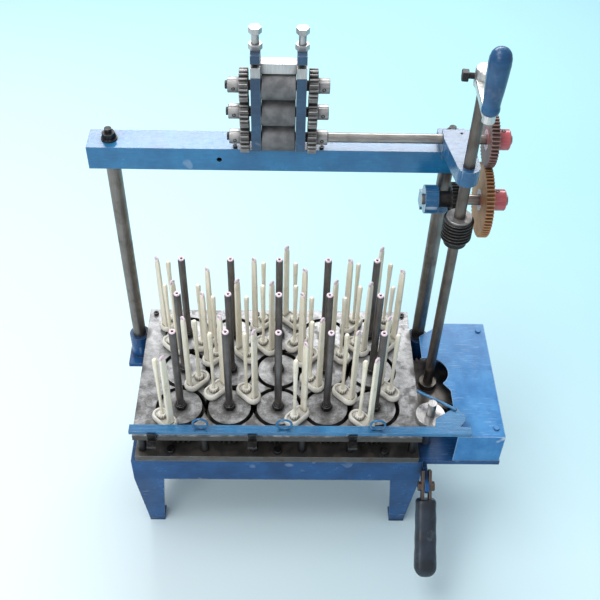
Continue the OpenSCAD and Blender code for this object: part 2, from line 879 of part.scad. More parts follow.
// Gear on the drive shaft, turned so that it meshes with the nearest horn gear
module drive_gear() {
    toward_shaft = atan2(shaft_y, shaft_x - outer_gear_x);
    near_phase = turn_of(column_count, 1) > 0 ? 0 : 180 / horn_teeth;
    horn_teeth_passed = (toward_shaft - near_phase) / (360 / horn_teeth);
    first_tooth = toward_shaft + 180 - (0.5 - horn_teeth_passed) * 360 / drive_teeth;
    hub_r = shaft_d / 2 + 8;
    color("lightsteelblue")
        translate([shaft_x, shaft_y, 0]) {
            translate([0, 0, gear_z]) toothed_rim(gear_module, drive_teeth, tooth_w, hub_r, first_tooth);
            translate([0, 0, base_top + gap]) rim_hub(hub_r, shaft_d / 2, gear_gap - 10);
        }
}

// Worm on the drive shaft: a clamping sleeve below, rounds of thread and a plain collar on top
module worm() {
    thread_step = PI * 2;
    thread_depth = 4;
    rounds = 7;
    sleeve_r = worm_r - 6;
    sleeve_h = 9;
    collar_h = 3;
    root_r = worm_r - thread_depth;
    profile = [for (k = [0 : rounds - 1]) each [
        [root_r, sleeve_h + k * thread_step],
        [worm_r, sleeve_h + (k + 0.3) * thread_step],
        [worm_r, sleeve_h + (k + 0.5) * thread_step],
        [root_r, sleeve_h + (k + 0.8) * thread_step]]];
    length = sleeve_h + rounds * thread_step + collar_h;
    color("darkslategray")
        translate([shaft_x, shaft_y, cross_z + worm_above - length])
            rotate_extrude()
                polygon(concat([[shaft_d / 2, 0], [sleeve_r, 0], [sleeve_r, sleeve_h]], profile,
                               [[root_r, length], [shaft_d / 2, length]]));
}

// Clamped crank arm with its square-headed set screw and the pin of the grip
module crank_arm() {
    hub_z = shaft_top - crank_hub_h + 6;
    arm_z = grip_z - gap - crank_arm_t;
    eye_r = 9;
    pin_len = crank_arm_t + grip_len - 14;
    screw_z = hub_z + crank_hub_h / 2;
    screw_shank = 9;
    screw_square = 14;
    color("whitesmoke")
        translate([shaft_x, shaft_y, 0])
            rotate([0, 0, crank_turn])
                difference() {
                    union() {
                        translate([0, 0, hub_z]) cylinder(r = crank_hub_r, h = crank_hub_h);
                        translate([0, 0, arm_z])
                            linear_extrude(crank_arm_t)
                                polygon([[-crank_hub_r, 0], [crank_hub_r, 0],
                                         [eye_r - 1, -crank_r], [1 - eye_r, -crank_r]]);
                        translate([0, -crank_r, arm_z]) {
                            cylinder(r = eye_r, h = crank_arm_t);
                            cylinder(r = crank_pin_r, h = pin_len);
                        }
                        along_x(-crank_hub_r - screw_shank, 0, screw_z)
                            cylinder(d = screw_shank, h = screw_shank + 3);
                        along_x(-crank_hub_r - 2 * screw_shank, 0, screw_z)
                            linear_extrude(screw_shank + weld) square(screw_square, center = true);
                    }
                    translate([0, 0, hub_z - 1]) cylinder(d = shaft_d, h = shaft_top - hub_z + 1);
                }
}

// Grip that turns freely on the crank's pin
module crank_grip() {
    end_r = grip_d / 2 - 6;
    neck_r = grip_d / 2 - 5;
    end_h = 9;
    belly_h = grip_len * 0.45;
    belly_r = grip_d / 2 - 1.5;
    top_r = grip_d / 2;
    bore_r = crank_pin_r + fit;
    bore_top = grip_len - 12;
    color("steelblue")
        translate([crank_pin.x, crank_pin.y, grip_z])
            difference() {
                union() {
                    cylinder(r1 = end_r, r2 = neck_r, h = end_h);
                    translate([0, 0, end_h - weld])
                        cylinder(r1 = neck_r, r2 = belly_r, h = belly_h - end_h + weld);
                    translate([0, 0, belly_h - weld])
                        cylinder(r1 = belly_r, r2 = top_r, h = grip_len - top_r - belly_h + weld);
                    translate([0, 0, grip_len - top_r]) sphere(r = top_r);
                }
                translate([0, 0, -1]) cylinder(r = bore_r, h = bore_top + 1);
            }
}

// Cross shaft behind the drive shaft
module cross_shaft() {
    color("gray")
        along_x(cross_left, cross_y, cross_z) cylinder(d = cross_d, h = cross_right - cross_left);
}

// Worm wheel with its hub
module worm_wheel() {
    hub_r = cross_d / 2 + 5;
    wheel_module = wheel_tip_r / tip_radius(1, wheel_teeth);
    color("darkslategray") {
        along_x(shaft_x - wheel_w / 2, cross_y, cross_z)
            toothed_rim(wheel_module, wheel_teeth, wheel_w, hub_r);
        along_x(shaft_x - wheel_w / 2 - wheel_hub_w, cross_y, cross_z)
            rim_hub(hub_r, cross_d / 2, wheel_w + wheel_hub_w);
    }
}

// Change gear with a hub that is clamped on its shaft
module change_gear(teeth, first_tooth, bore_r, hub_w, y, z) {
    hub_r = bore_r + 9;
    along_x(change_x, y, z) toothed_rim(change_module, teeth, change_w, hub_r, first_tooth);
    along_x(change_x, y, z) rim_hub(hub_r, bore_r, change_w + hub_w);
}

// Direction from the lower change gear's centre to the upper one, in the plane of the gears
change_angle = atan2(roller_z - cross_z, draw_y - cross_y);

module change_gear_lower() {
    color("peru") change_gear(lower_teeth, change_angle, cross_d / 2, lower_hub_w, cross_y, cross_z);
}

module change_gear_upper() {
    half_step = 180 / upper_teeth;
    color("firebrick")
        change_gear(upper_teeth, change_angle + 180 + half_step, journal_d / 2, upper_hub_w,
                    draw_y, roller_z);
}

// Roller with its journals, from one hub of its pinions to the given end
module roller(z, right_end) {
    along_x(draw_x - roller_len / 2, draw_y, z) cylinder(d = roller_d, h = roller_len);
    along_x(draw_x - journal_end, draw_y, z) cylinder(d = journal_d, h = right_end - draw_x + journal_end);
}

// Pinions at both ends of a roller; a row above turns its teeth to the row below
module pinions(z, row) {
    half_step = 180 / pinion_teeth;
    first_tooth = row == 1 ? 90 + half_step + 180 : 90;
    hub_r = journal_d / 2 + 4;
    for (x = [draw_x - pinion_in - pinion_w, draw_x + pinion_in])
        along_x(x, draw_y, z)
            toothed_rim(pinion_module, pinion_teeth, pinion_w, hub_r, first_tooth);
    for (x = [draw_x - journal_end, draw_x + pinion_in])
        along_x(x, draw_y, z) rim_hub(hub_r, journal_d / 2, pinion_w + pinion_hub_w);
}

module roller_bottom() {
    color("gray") roller(roller_z, change_x + change_w + upper_hub_w + shaft_stub);
}

module pinions_bottom() {
    color("lightgray") pinions(roller_z, 0);
}

module roller_middle() {
    color("gray") roller(roller_z + roller_step, draw_x + journal_end);
}

module pinions_middle() {
    color("lightgray") pinions(roller_z + roller_step, 1);
}

module roller_top() {
    color("gray") roller(top_roller_z, draw_x + journal_end);
}

module pinions_top() {
    color("lightgray") pinions(top_roller_z, 2);
}

// Bearing blocks of the top roller, with shoulders that show at the front and a bar between them
module pressure_yoke() {
    bar_d = 18;
    shoulder_d = (cheek_d - block_w) / 2 + weld;
    color("silver")
        difference() {
            union() {
                for (x = [draw_x - cheek_out, draw_x + cheek_in]) {
                    translate([x, draw_y - block_w / 2 + fit, block_low])
                        cube([cheek_t, block_w - 2 * fit, block_high - block_low]);
                    translate([x, draw_y - cheek_d / 2, yoke_low]) cube([cheek_t, shoulder_d, yoke_h]);
                }
                translate([draw_x - cheek_in - weld, draw_y - bar_d / 2, yoke_low])
                    cube([2 * (cheek_in + weld), bar_d, yoke_h]);
            }
            for (x = [draw_x - cheek_out - 1, draw_x + cheek_in - 1])
                along_x(x, draw_y, top_roller_z) cylinder(d = journal_d + 2 * fit, h = cheek_t + 2);
        }
}

// Pressure screw that bears on the top roller's block
module pressure_screw(side) {
    color("lightgray")
        translate([draw_x + side * (cheek_in + cheek_t / 2), draw_y, 0]) {
            translate([0, 0, block_high + gap]) cylinder(d = screw_d, h = screw_head_z - block_high);
            translate([0, 0, screw_head_z]) cylinder(d = screw_d * 1.7, h = lock_nut_h, $fn = 6);
        }
}

// Sliding stop bar with its three rings, the slanted plate beside the stud and the trip rod
module stop_bar() {
    plate_t = 5;
    plate_back = stop_y + stop_w / 2 - weld;
    slant_start = [stud_x + 5, stud_y - 22];
    tip = [stud_x + 45, stud_y + 5];
    plate_right = stud_x + 60;
    rod_d = 6;
    rod_start = tip - [1, 8];
    rod_end = [stud_x - 23, stud_y + 40];
    rod_run = rod_end - rod_start;
    slot_w = 2 * (ring_wire + seam);
    color("royalblue") {
        difference() {
            union() {
                translate([stop_left, stop_y - stop_w / 2, stop_z])
                    cube([stop_right - stop_left, stop_w, stop_t]);
                translate([0, 0, stop_z + stop_t - plate_t])
                    linear_extrude(plate_t)
                        polygon([[slant_start.x - 2, plate_back], [plate_right - 13, plate_back],
                                 [plate_right - 1, stud_y - 26], [plate_right, stud_y - 16],
                                 tip, slant_start]);
            }
            for (x = ring_x)
                translate([x * pitch - ring_r / 2, stop_y - slot_w / 2, stop_z + stop_t - ring_sink - seam])
                    cube([ring_r, slot_w, stop_t]);
        }
        for (x = ring_x)
            translate([x * pitch, stop_y, ring_z])
                rotate([90, 0, 0])
                    rotate_extrude()
                        translate([ring_r, 0]) circle(r = ring_wire, $fn = 24);
        translate([rod_start.x, rod_start.y, stop_z + stop_t + rod_d / 2 - weld])
            rotate([0, 0, atan2(rod_run.y, rod_run.x)])
                along_x(0, 0, 0) cylinder(d = rod_d, h = norm(rod_run));
    }
}

// Put a child, drawn along the lever from its pivot, in the lever's place
module on_lever() {
    translate([lever_x, lever_pivot_y, lever_pivot_z])
        rotate([lever_tilt - 90, 0, 0])
            children();
}

// Two flat strips on a bolt through the lug
module hand_lever() {
    tail = 30;
    outer = strip_in + strip_t;
    nut_w = lever_bolt_d * 1.8;
    nut_h = 6.5;
    color("slategray")
        on_lever() {
            for (x = [strip_in, -outer])
                translate([x, -strip_w / 2, -strip_len]) cube([strip_t, strip_w, strip_len + tail]);
            rotate([0, 90, 0]) {
                translate([0, 0, -outer - nut_h / 2]) cylinder(d = lever_bolt_d, h = 2 * outer + nut_h);
                translate([0, 0, outer - 0.5]) cylinder(d = nut_w, h = nut_h, $fn = 6);
                translate([0, 0, 0.5 - outer - nut_h]) cylinder(d = nut_w, h = nut_h, $fn = 6);
            }
        }
}

// Moulded grip around the lower end of the strips
module lever_grip() {
    neck_r = 19;
    color("midnightblue")
        on_lever()
            difference() {
                translate([0, 0, -lever_len + lever_end_r]) {
                    sphere(r = lever_end_r);
                    cylinder(r1 = lever_end_r, r2 = neck_r, h = lever_grip_len - lever_end_r);
                }
                for (x = [strip_in, -strip_in - strip_t])
                    translate([x, -strip_w / 2, -strip_len]) cube([strip_t, strip_w, strip_len]);
            }
}

centred() base_frame();
centred() base_plate();
centred() track_plate();
centred() spacer_columns();
centred() gear_posts();
centred() warp_tubes();
centred() fasteners();
centred() posts();
centred() beam();
centred() draw_off_cheeks();
centred() bearing_brackets();
centred() side_cover();
centred() stop_stud();
centred() drive_shaft();
centred() drive_gear();
centred() worm();
centred() crank_arm();
centred() crank_grip();
centred() cross_shaft();
centred() worm_wheel();
centred() change_gear_lower();
centred() roller_bottom();
centred() pinions_bottom();
centred() change_gear_upper();
centred() roller_middle();
centred() pinions_middle();
centred() pressure_yoke();
centred() roller_top();
centred() pinions_top();
centred() pressure_screw(-1);  // screw_left
centred() pressure_screw(1);  // screw_right
centred() stop_bar();
centred() hand_lever();
centred() lever_grip();
for (row = [0 : 2])
    for (column = [1 : column_count]) {
        place = str(row_names[row], "_", column);
        centred() horn_gear(column, row);
        centred() carriers(column, row);
    }
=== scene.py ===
"""Looks of the packing braiding machine: carriers, warp tubes, rollers, wheels and grips as smooth
surfaces, a finish for every piece, a pale floor, studio light and the camera. Metres, Z up, with the
machine's front at -Y."""

import json
import math

import bpy
import numpy as np
from mathutils import Matrix, Vector


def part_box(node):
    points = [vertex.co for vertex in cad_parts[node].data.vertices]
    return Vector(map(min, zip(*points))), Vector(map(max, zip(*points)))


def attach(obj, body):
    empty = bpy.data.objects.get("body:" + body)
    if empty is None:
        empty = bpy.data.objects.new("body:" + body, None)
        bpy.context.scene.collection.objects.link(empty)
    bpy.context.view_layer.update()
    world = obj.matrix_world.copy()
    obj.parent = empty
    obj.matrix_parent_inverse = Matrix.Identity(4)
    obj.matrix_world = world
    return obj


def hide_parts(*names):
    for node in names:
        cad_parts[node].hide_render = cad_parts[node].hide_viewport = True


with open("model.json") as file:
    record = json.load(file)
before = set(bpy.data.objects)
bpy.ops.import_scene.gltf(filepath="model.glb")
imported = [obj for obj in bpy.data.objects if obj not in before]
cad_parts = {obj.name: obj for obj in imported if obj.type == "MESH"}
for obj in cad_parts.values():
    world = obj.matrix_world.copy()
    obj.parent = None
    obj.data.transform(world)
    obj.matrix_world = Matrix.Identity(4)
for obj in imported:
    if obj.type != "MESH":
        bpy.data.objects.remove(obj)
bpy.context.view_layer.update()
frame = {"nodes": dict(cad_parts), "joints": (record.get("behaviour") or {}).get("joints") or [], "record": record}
nodes = frame["nodes"]
pivots = {joint["name"]: np.array(joint.get("pos_m", (0, 0, 0))) for joint in frame["joints"]}
ratios = {pair["joint"]: pair["ratio"] for pair in frame["record"]["behaviour"]["couplings"]}

MM = 0.001

# Lattice: gear centres and the distance between them, from the joints, and radius of the carriers' track
ROWS = ("front", "middle", "back")
COLUMNS = range(1, 6)
gear_at = {f"{row}_{column}": pivots[f"horn_{row}_{column}_spin"] for row in ROWS for column in COLUMNS}
pitch = gear_at["front_2"][0] - gear_at["front_1"][0]
track_r = pitch * 0.478

# Compass points where each horn holds a carrier
NE, NW, SW, SE = 45, 135, 225, 315
carrier_places = {
    "front_1": [SW],
    "front_2": [NW, NE],
    "front_3": [SE],
    "front_4": [NE],
    "front_5": [SW, NE],
    "middle_1": [SE],
    "middle_2": [NE, NW],
    "middle_4": [NE, NW, SW],
    "back_1": [NW, SW, SE],
    "back_3": [NE, NW, SW, SE],
    "back_5": [NE, NW, SW, SE],
}


# Surfaces

def skin(grid, ring=False):
    """Points and triangles of a grid whose rows are closed rings. The last row joins the first where the
    surface is itself a ring, and otherwise a fan from the middle of each end row closes it."""
    rows, columns, _ = grid.shape
    row = np.arange(rows if ring else rows - 1)[:, None]
    column = np.arange(columns)[None, :]
    above = (row + 1) % rows
    beside = (column + 1) % columns
    a, b = row * columns + column, row * columns + beside
    c, d = above * columns + beside, above * columns + column
    triangles = [np.stack([a, b, c], -1).reshape(-1, 3), np.stack([a, c, d], -1).reshape(-1, 3)]
    points = grid.reshape(-1, 3)
    if not ring:
        low, high = rows * columns, rows * columns + 1
        points = np.vstack([points, grid[0].mean(0), grid[-1].mean(0)])
        first, last = np.arange(columns), (rows - 1) * columns + np.arange(columns)
        triangles.append(np.stack([np.full(columns, low), np.roll(first, -1), first], -1))
        triangles.append(np.stack([np.full(columns, high), last, np.roll(last, -1)], -1))
    triangles = np.vstack(triangles)
    corners = points[triangles]
    volume = np.einsum("ij,ij->", corners[:, 0], np.cross(corners[:, 1], corners[:, 2]))
    return points, triangles if volume > 0 else triangles[:, ::-1]


def full_turn(sides):
    """Evenly spaced angles of one turn."""
    return np.arange(sides) * 2 * math.pi / sides


def rings(radius, angle, height):
    """Grid of rings about the Z axis: one row of radii, over the angles, at each height."""
    level = np.broadcast_to(np.array(height, float)[:, None], radius.shape)
    return np.stack([radius * np.cos(angle), radius * np.sin(angle), level], -1)


def turned(profile, sides=48, ring=False):
    """A profile of (radius, height) points turned about the Z axis."""
    radius, height = np.array(profile, float).T
    return skin(rings(radius[:, None] * np.ones(sides), full_turn(sides), height), ring)


def hoop(radius, wire, sides=36, turns=14):
    """A ring: a circle of the wire's radius carried round a circle about the Z axis."""
    around = full_turn(turns)
    return turned(np.stack([radius + wire * np.cos(around), wire * np.sin(around)], -1), sides, ring=True)


def stadium(radius, half_length, middle, sides=48):
    """Closed ring round a straight line: a circle whose two halves are moved apart along X."""
    angle = full_turn(sides) + math.pi / sides
    x = middle + radius * np.cos(angle) + half_length * np.sign(np.cos(angle))
    return np.stack([x, radius * np.sin(angle)], -1)


def rounded(half_x, half_y, squareness=5, sides=32):
    """Closed ring of a rectangle with soft corners: a superellipse of the given power."""
    angle = full_turn(sides) + math.pi / sides
    cos, sin = np.cos(angle), np.sin(angle)
    x = half_x * np.sign(cos) * np.abs(cos) ** (2 / squareness)
    y = half_y * np.sign(sin) * np.abs(sin) ** (2 / squareness)
    return np.stack([x, y], -1)


def lofted(sections):
    """Surface through flat rings, each given as (points in X and Y, height)."""
    grid = np.stack([np.column_stack([ring, np.full(len(ring), height)]) for ring, height in sections])
    return skin(grid)


def placed(part, origin, x=(1, 0, 0), y=(0, 1, 0), z=(0, 0, 1)):
    """A part moved to an origin, with its own axes laid along the given directions."""
    points, triangles = part
    return points @ np.array([x, y, z], float) + np.array(origin, float), triangles


# Axes of a part whose own Z axis lies along the machine's X axis, toward the right or the left
ALONG_X = {"x": (0, 1, 0), "y": (0, 0, 1), "z": (1, 0, 0)}
BACK_ALONG_X = {"x": (0, -1, 0), "y": (0, 0, 1), "z": (-1, 0, 0)}


# Root and tip of a tooth, in modules below and above the pitch circle
TOOTH_ROOT, TOOTH_TIP = 1.25, 0.95


def involute(angle):
    """How far an involute has turned where it leans by the angle: the tangent less the angle."""
    return np.tan(angle) - angle


def wheel(module, teeth, first, section):
    """Toothed wheel: the outline of its teeth, cut off at the radius of each (radius, height) point of a
    closed section. A tooth is as wide at each radius as a twenty degree involute makes it."""
    pitch_r = module * teeth / 2
    press = math.radians(20)
    backlash = 0.24 * MM
    radii = pitch_r + module * np.array([-TOOTH_ROOT, -0.6, 0, 0.5, TOOTH_TIP])
    lean = np.arccos(np.minimum(pitch_r * math.cos(press) / radii, 1))
    half = math.pi / 2 / teeth - backlash / 4 / pitch_r + involute(press) - involute(lean)
    centres = math.radians(first) + full_turn(teeth)
    angle = (centres[:, None] + np.concatenate([-half, half[::-1]])).ravel()
    outline = np.tile(np.concatenate([radii, radii[::-1]]), teeth)
    limit, height = np.array(section, float).T
    radius = np.minimum(outline[None, :], limit[:, None])
    return skin(rings(radius, angle, height), ring=True)


def joined(parts):
    """Several parts as one array of points and one of triangles."""
    starts = np.cumsum([0] + [len(points) for points, _ in parts])
    points = np.vstack([points for points, _ in parts])
    triangles = np.vstack([triangles + start for (_, triangles), start in zip(parts, starts)])
    return points, triangles


def piece(name, body, dressed_parts, stands_for=(), crease=35):
    """One object of the machine from (finish, parts) pairs. It rides on a body and stands for the given solids.
    Edges sharper than the crease angle stay sharp."""
    solids = [joined(parts) for _, parts in dressed_parts]
    points, triangles = joined(solids)
    finish_of = np.repeat(np.arange(len(solids)), [len(solid[1]) for solid in solids])
    mesh = bpy.data.meshes.new(name)
    mesh.vertices.add(len(points))
    mesh.vertices.foreach_set("co", points.astype(np.float32).ravel())
    mesh.loops.add(3 * len(triangles))
    mesh.loops.foreach_set("vertex_index", triangles.astype(np.int32).ravel())
    mesh.polygons.add(len(triangles))
    mesh.polygons.foreach_set("loop_start", np.arange(0, 3 * len(triangles), 3, dtype=np.int32))
    mesh.polygons.foreach_set("material_index", finish_of.astype(np.int32))
    for finish, _ in dressed_parts:
        mesh.materials.append(finish)
    mesh.update(calc_edges=True)
    mesh.validate()
    mesh.shade_smooth()
    mesh.set_sharp_from_angle(angle=math.radians(crease))
    made = bpy.data.objects.new(name, mesh)
    bpy.context.scene.collection.objects.link(made)
    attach(made, body)
    if stands_for:
        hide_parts(*stands_for)
    return made


# Shader maths

class Value:
    """What a node gives. Sums and products of numbers that vary over a surface add Math nodes."""

    def __init__(self, finish, output):
        self.finish = finish
        self.output = output

    def maths(self, operation, first, second):
        """A Math node on two values or numbers."""
        return self.finish.add("ShaderNodeMath", {"operation": operation}, {0: first, 1: second})

    def __add__(self, other):
        return self.maths("ADD", self, other)

    def __radd__(self, other):
        return self.maths("ADD", other, self)

    def __sub__(self, other):
        return self.maths("SUBTRACT", self, other)

    def __rsub__(self, other):
        return self.maths("SUBTRACT", other, self)

    def __mul__(self, other):
        return self.maths("MULTIPLY", self, other)

    def __rmul__(self, other):
        return self.maths("MULTIPLY", other, self)

    def __truediv__(self, other):
        return self.maths("DIVIDE", self, other)

    def __pow__(self, other):
        return self.maths("POWER", self, other)


class Finish:
    """One finish: a Principled shader and the nodes that feed it."""

    def __init__(self, name):
        self.material = bpy.data.materials.new(name)
        self.material.use_nodes = True
        self.tree = self.material.node_tree
        self.shader = self.tree.nodes["Principled BSDF"]

    def add(self, kind, settings=None, inputs=None, output=0):
        """Any node: its settings first, then the values or links of its sockets."""
        node = self.tree.nodes.new(kind)
        for name, value in (settings or {}).items():
            setattr(node, name, value)
        for key, value in (inputs or {}).items():
            self.feed(node.inputs[key], value)
        return Value(self, node.outputs[output])

    def feed(self, socket, value):
        """Links a value to a socket, or sets a plain number or colour on it."""
        if isinstance(value, Value):
            self.tree.links.new(value.output, socket)
        else:
            socket.default_value = value

    def place(self, stretch=(1, 1, 1), turn=(0, 0, 0)):
        """Object coordinates, turned by degrees and stretched."""
        at = self.add("ShaderNodeTexCoord", output="Object")
        turn = [math.radians(angle) for angle in turn]
        return self.add("ShaderNodeMapping", {}, {"Vector": at, "Rotation": turn, "Scale": stretch})

    def axis(self, name):
        """One object coordinate, in metres."""
        return self.add("ShaderNodeSeparateXYZ", {}, {0: self.place()}, name)

    def noise(self, size, detail=3.0, stretch=(1, 1, 1), turn=(0, 0, 0), rough=0.55):
        """Cloudy pattern from 0 to 1 with spots of about the given size in metres."""
        spots = {"Vector": self.place(stretch, turn), "Scale": 1 / size, "Detail": detail, "Roughness": rough}
        return self.add("ShaderNodeTexNoise", {}, spots, "Fac")

    def step(self, value, low, high):
        """0 up to low, 1 from high on, with a soft rise between them."""
        span = {"Value": value, "From Min": low, "From Max": high}
        return self.add("ShaderNodeMapRange", {"interpolation_type": "SMOOTHSTEP"}, span)

    def mix(self, share, first, second):
        """Colour that goes from first to second as the share goes from 0 to 1."""
        return self.add("ShaderNodeMix", {"data_type": "RGBA"}, {0: share, 6: first, 7: second}, 2)

    def round_normal(self, radius):
        """Normal of the surface as if its sharp edges were rounded to the radius."""
        return self.add("ShaderNodeBevel", {"samples": 4}, {"Radius": radius})

    def edge(self, radius):
        """Near 0 on open faces and larger within the radius of a sharp edge."""
        true = self.add("ShaderNodeNewGeometry", output="True Normal")
        both = {0: self.round_normal(radius), 1: true}
        return 1 - self.add("ShaderNodeVectorMath", {"operation": "DOT_PRODUCT"}, both, "Value")

    def corner(self, distance):
        """1 in the open and less in corners and crevices within the distance."""
        return self.add("ShaderNodeAmbientOcclusion", {"samples": 6}, {"Distance": distance}, "AO")

    def scratches(self, length, width, share):
        """Thin marks in three directions, 1 on a mark and 0 off it."""
        marks = 0
        for turn in (17, 74, 131):
            lines = self.noise(length, 1.5, (1, length / width, 1), (0, 0, turn))
            here = self.noise(length * 0.8, 1, turn=(turn, turn, 0))
            marks = marks + self.step(lines, 0.72 - share, 0.76 - share) * self.step(here, 0.5, 0.6)
        return marks

    def bumped(self, height, distance, edge_radius):
        """Normal of rounded edges with a relief on top."""
        relief = {"Height": height, "Distance": distance, "Normal": self.round_normal(edge_radius)}
        return self.add("ShaderNodeBump", {}, relief)

    def done(self, colour, roughness, metallic=0.0, normal=None, coat=0.0, specular=0.5):
        """Feeds the shader and gives the material."""
        sockets = {"Base Color": colour, "Roughness": roughness, "Metallic": metallic, "Coat Weight": coat}
        for name, value in sockets.items():
            self.feed(self.shader.inputs[name], value)
        self.shader.inputs["Specular IOR Level"].default_value = specular
        self.shader.inputs["Coat Roughness"].default_value = 0.12
        if normal is not None:
            self.feed(self.shader.inputs["Normal"], normal)
        return self.material


def tint(red, green, blue):
    """An opaque colour."""
    return (red, green, blue, 1.0)


# Finishes

def enamel(name, deep, bright, scuffing, gloss=1.0, wear=1.6 * MM, strokes=(1, 12, 12),
           bared=tint(0.3, 0.31, 0.33)):
    """Brushed enamel: cloudy colour, brush marks, bared edges, dirt and painted shade in corners, and light
    scuffs.
    """
    paint = Finish(name)
    cloud = paint.noise(0.06, 5, rough=0.62)
    brush = paint.noise(0.03, 3, strokes)
    peel = paint.noise(0.004, 2)
    chips = paint.step(paint.edge(wear) * 1.6 + paint.noise(0.006, 3) * 0.5, 0.46, 0.6)
    # Occlusion mask: in corners it darkens the colour as painted shade and raises the roughness as dirt.
    grime_and_shade = 1 - paint.step(paint.corner(0.022), 0.35, 0.95)
    scuffs = paint.scratches(0.05, 0.0007, 0.06) * scuffing
    colour = paint.mix(paint.step(cloud * 0.7 + brush * 0.3, 0.35, 0.68), deep, bright)
    colour = paint.mix(scuffs, colour, tint(0.52, 0.62, 0.74))
    colour = paint.mix(grime_and_shade * 0.75, colour, tint(0.012, 0.014, 0.02))
    colour = paint.mix(chips * 0.85, colour, bared)
    roughness = 0.2 + cloud * 0.12 + grime_and_shade * 0.3 + scuffs * 0.25 + chips * 0.15
    normal = paint.bumped(brush * 0.5 + peel * 0.35 - chips * 0.6, 0.0006, 1.2 * MM)
    return paint.done(colour, roughness, normal=normal, coat=0.25 * gloss, specular=0.5 * gloss)


def steel(name, colour, roughness, grain=(1, 1, 40), stain=tint(0.09, 0.065, 0.045), stained=0.4, shine=1.0):
    """Bare steel: fine grain along one axis, oily stains, dirt and painted shade in crevices, and bright worn
    edges.
    """
    metal = Finish(name)
    lines = metal.noise(0.02, 2, grain)
    cloud = metal.noise(0.035, 4)
    blots = metal.step(metal.noise(0.022, 5), 0.5, 0.72) * stained
    # Occlusion mask: in crevices it darkens the colour as painted shade and dulls the metal as dirt.
    grime_and_shade = 1 - metal.step(metal.corner(0.012), 0.3, 0.9)
    worn = metal.step(metal.edge(1.2 * MM), 0.05, 0.3)
    dark = tint(*[part * 0.62 for part in colour[:3]])
    shade = metal.mix(metal.step(lines * 0.5 + cloud * 0.5, 0.36, 0.64), dark, colour)
    shade = metal.mix(blots, shade, stain)
    shade = metal.mix(worn * 0.5, shade, tint(0.75, 0.74, 0.72))
    shade = metal.mix(grime_and_shade * 0.85, shade, tint(0.014, 0.012, 0.01))
    rough = roughness + (lines - 0.5) * 0.16 + blots * 0.25 + grime_and_shade * 0.25
    normal = metal.bumped(lines * 0.4 + cloud * 0.4, 0.00025, 0.8 * MM)
    return metal.done(shade, rough, shine * (1 - blots * 0.6 - grime_and_shade * 0.4), normal)


def fastener_steel(name, bright_above, painted_beyond):
    """Blackened screws and nuts: bright on the head, above a height, and painted over on the side cover,
    beyond a place in X."""
    metal = Finish(name)
    cloud = metal.noise(0.006, 4)
    # Occlusion mask: in crevices it darkens the colour as painted shade and dulls the metal as dirt.
    grime_and_shade = 1 - metal.step(metal.corner(0.008), 0.3, 0.9)
    worn = metal.step(metal.edge(1.0 * MM), 0.05, 0.3)
    bright = metal.step(metal.axis("Z"), bright_above, bright_above + 0.01)
    painted = metal.step(metal.axis("X"), painted_beyond, painted_beyond + 0.01)
    shade = metal.mix(metal.step(cloud, 0.35, 0.65), tint(0.03, 0.03, 0.032), tint(0.07, 0.068, 0.066))
    shade = metal.mix(bright, shade, tint(0.56, 0.55, 0.54))
    shade = metal.mix(worn * 0.4, shade, tint(0.6, 0.6, 0.6))
    shade = metal.mix(painted, shade, tint(0.05, 0.23, 0.52))
    shade = metal.mix(grime_and_shade * 0.8, shade, tint(0.014, 0.013, 0.013))
    normal = metal.bumped(cloud, 0.00015, 0.6 * MM)
    return metal.done(shade, 0.38 + cloud * 0.12 + grime_and_shade * 0.2, (1 - painted) * (1 - grime_and_shade * 0.4), normal)


def from_nearest_gear(finish):
    """Distance of a point of the deck from the middle of the nearest gear."""
    middle = gear_at["middle_3"]
    offsets = []
    for axis, centre in zip("XY", middle):
        along = finish.axis(axis) - float(centre)
        nearest = finish.add("ShaderNodeMath", {"operation": "ROUND"}, {0: along / pitch})
        offsets.append(along - nearest * pitch)
    return (offsets[0] * offsets[0] + offsets[1] * offsets[1]) ** 0.5


def deck_steel(name, bright, edge_shade):
    """Ground plate: lapping rings round every gear, scuffs, oil that is thicker toward the front, a darker ring
    round the foot of each tube, painted shade along the groove edges, and oily flanks darkened by their facing as
    painted shade."""
    plate = Finish(name)
    away = from_nearest_gear(plate)
    lapping = {"W": away * 900, "Scale": 1.0}
    laps = plate.add("ShaderNodeTexNoise", {"noise_dimensions": "1D"}, lapping, "Fac")
    front = float(gear_at["front_3"][1])
    nearness = 1 - plate.step(plate.axis("Y"), front - pitch, front + 1.6 * pitch)
    cloud = plate.noise(0.012, 6, rough=0.66)
    blots = plate.step(plate.noise(0.016, 8, rough=0.72) + nearness * 0.16, 0.5, 0.74)
    # Faces that do not look up are darkened as painted shade.
    facing = plate.add("ShaderNodeNewGeometry", output="True Normal")
    upward = plate.add("ShaderNodeSeparateXYZ", {}, {0: facing}, "Z")
    flank_shade = 1 - plate.step(upward, 0.3, 0.7)
    foot = 1 - plate.step(away, 0.010, 0.021)
    marks = plate.scratches(0.035, 0.0006, 0.07)
    # Sharp edges, the groove edges most of all, are darkened to near black as painted shade.
    groove_edge_shade = plate.step(plate.edge(1.5 * MM), 0.03, 0.25)
    shade = plate.mix(plate.step(cloud * 0.6 + laps * 0.4, 0.36, 0.66), tint(0.26, 0.26, 0.265), bright)
    shade = plate.mix(blots * 0.72, shade, tint(0.085, 0.074, 0.062))
    shade = plate.mix(foot * 0.7, shade, tint(0.03, 0.026, 0.022))
    shade = plate.mix(marks * 0.35, shade, tint(0.7, 0.7, 0.7))
    shade = plate.mix(groove_edge_shade * edge_shade, shade, tint(0.02, 0.018, 0.016))
    shade = plate.mix(flank_shade * 0.85, shade, tint(0.07, 0.062, 0.055))
    roughness = 0.44 + (laps - 0.5) * 0.2 + blots * 0.2 + cloud * 0.08
    normal = plate.bumped(laps * 0.5 + marks * 0.5 + cloud * 0.3, 0.00025, 0.7 * MM)
    return plate.done(shade, roughness, 0.92 - blots * 0.55, normal)


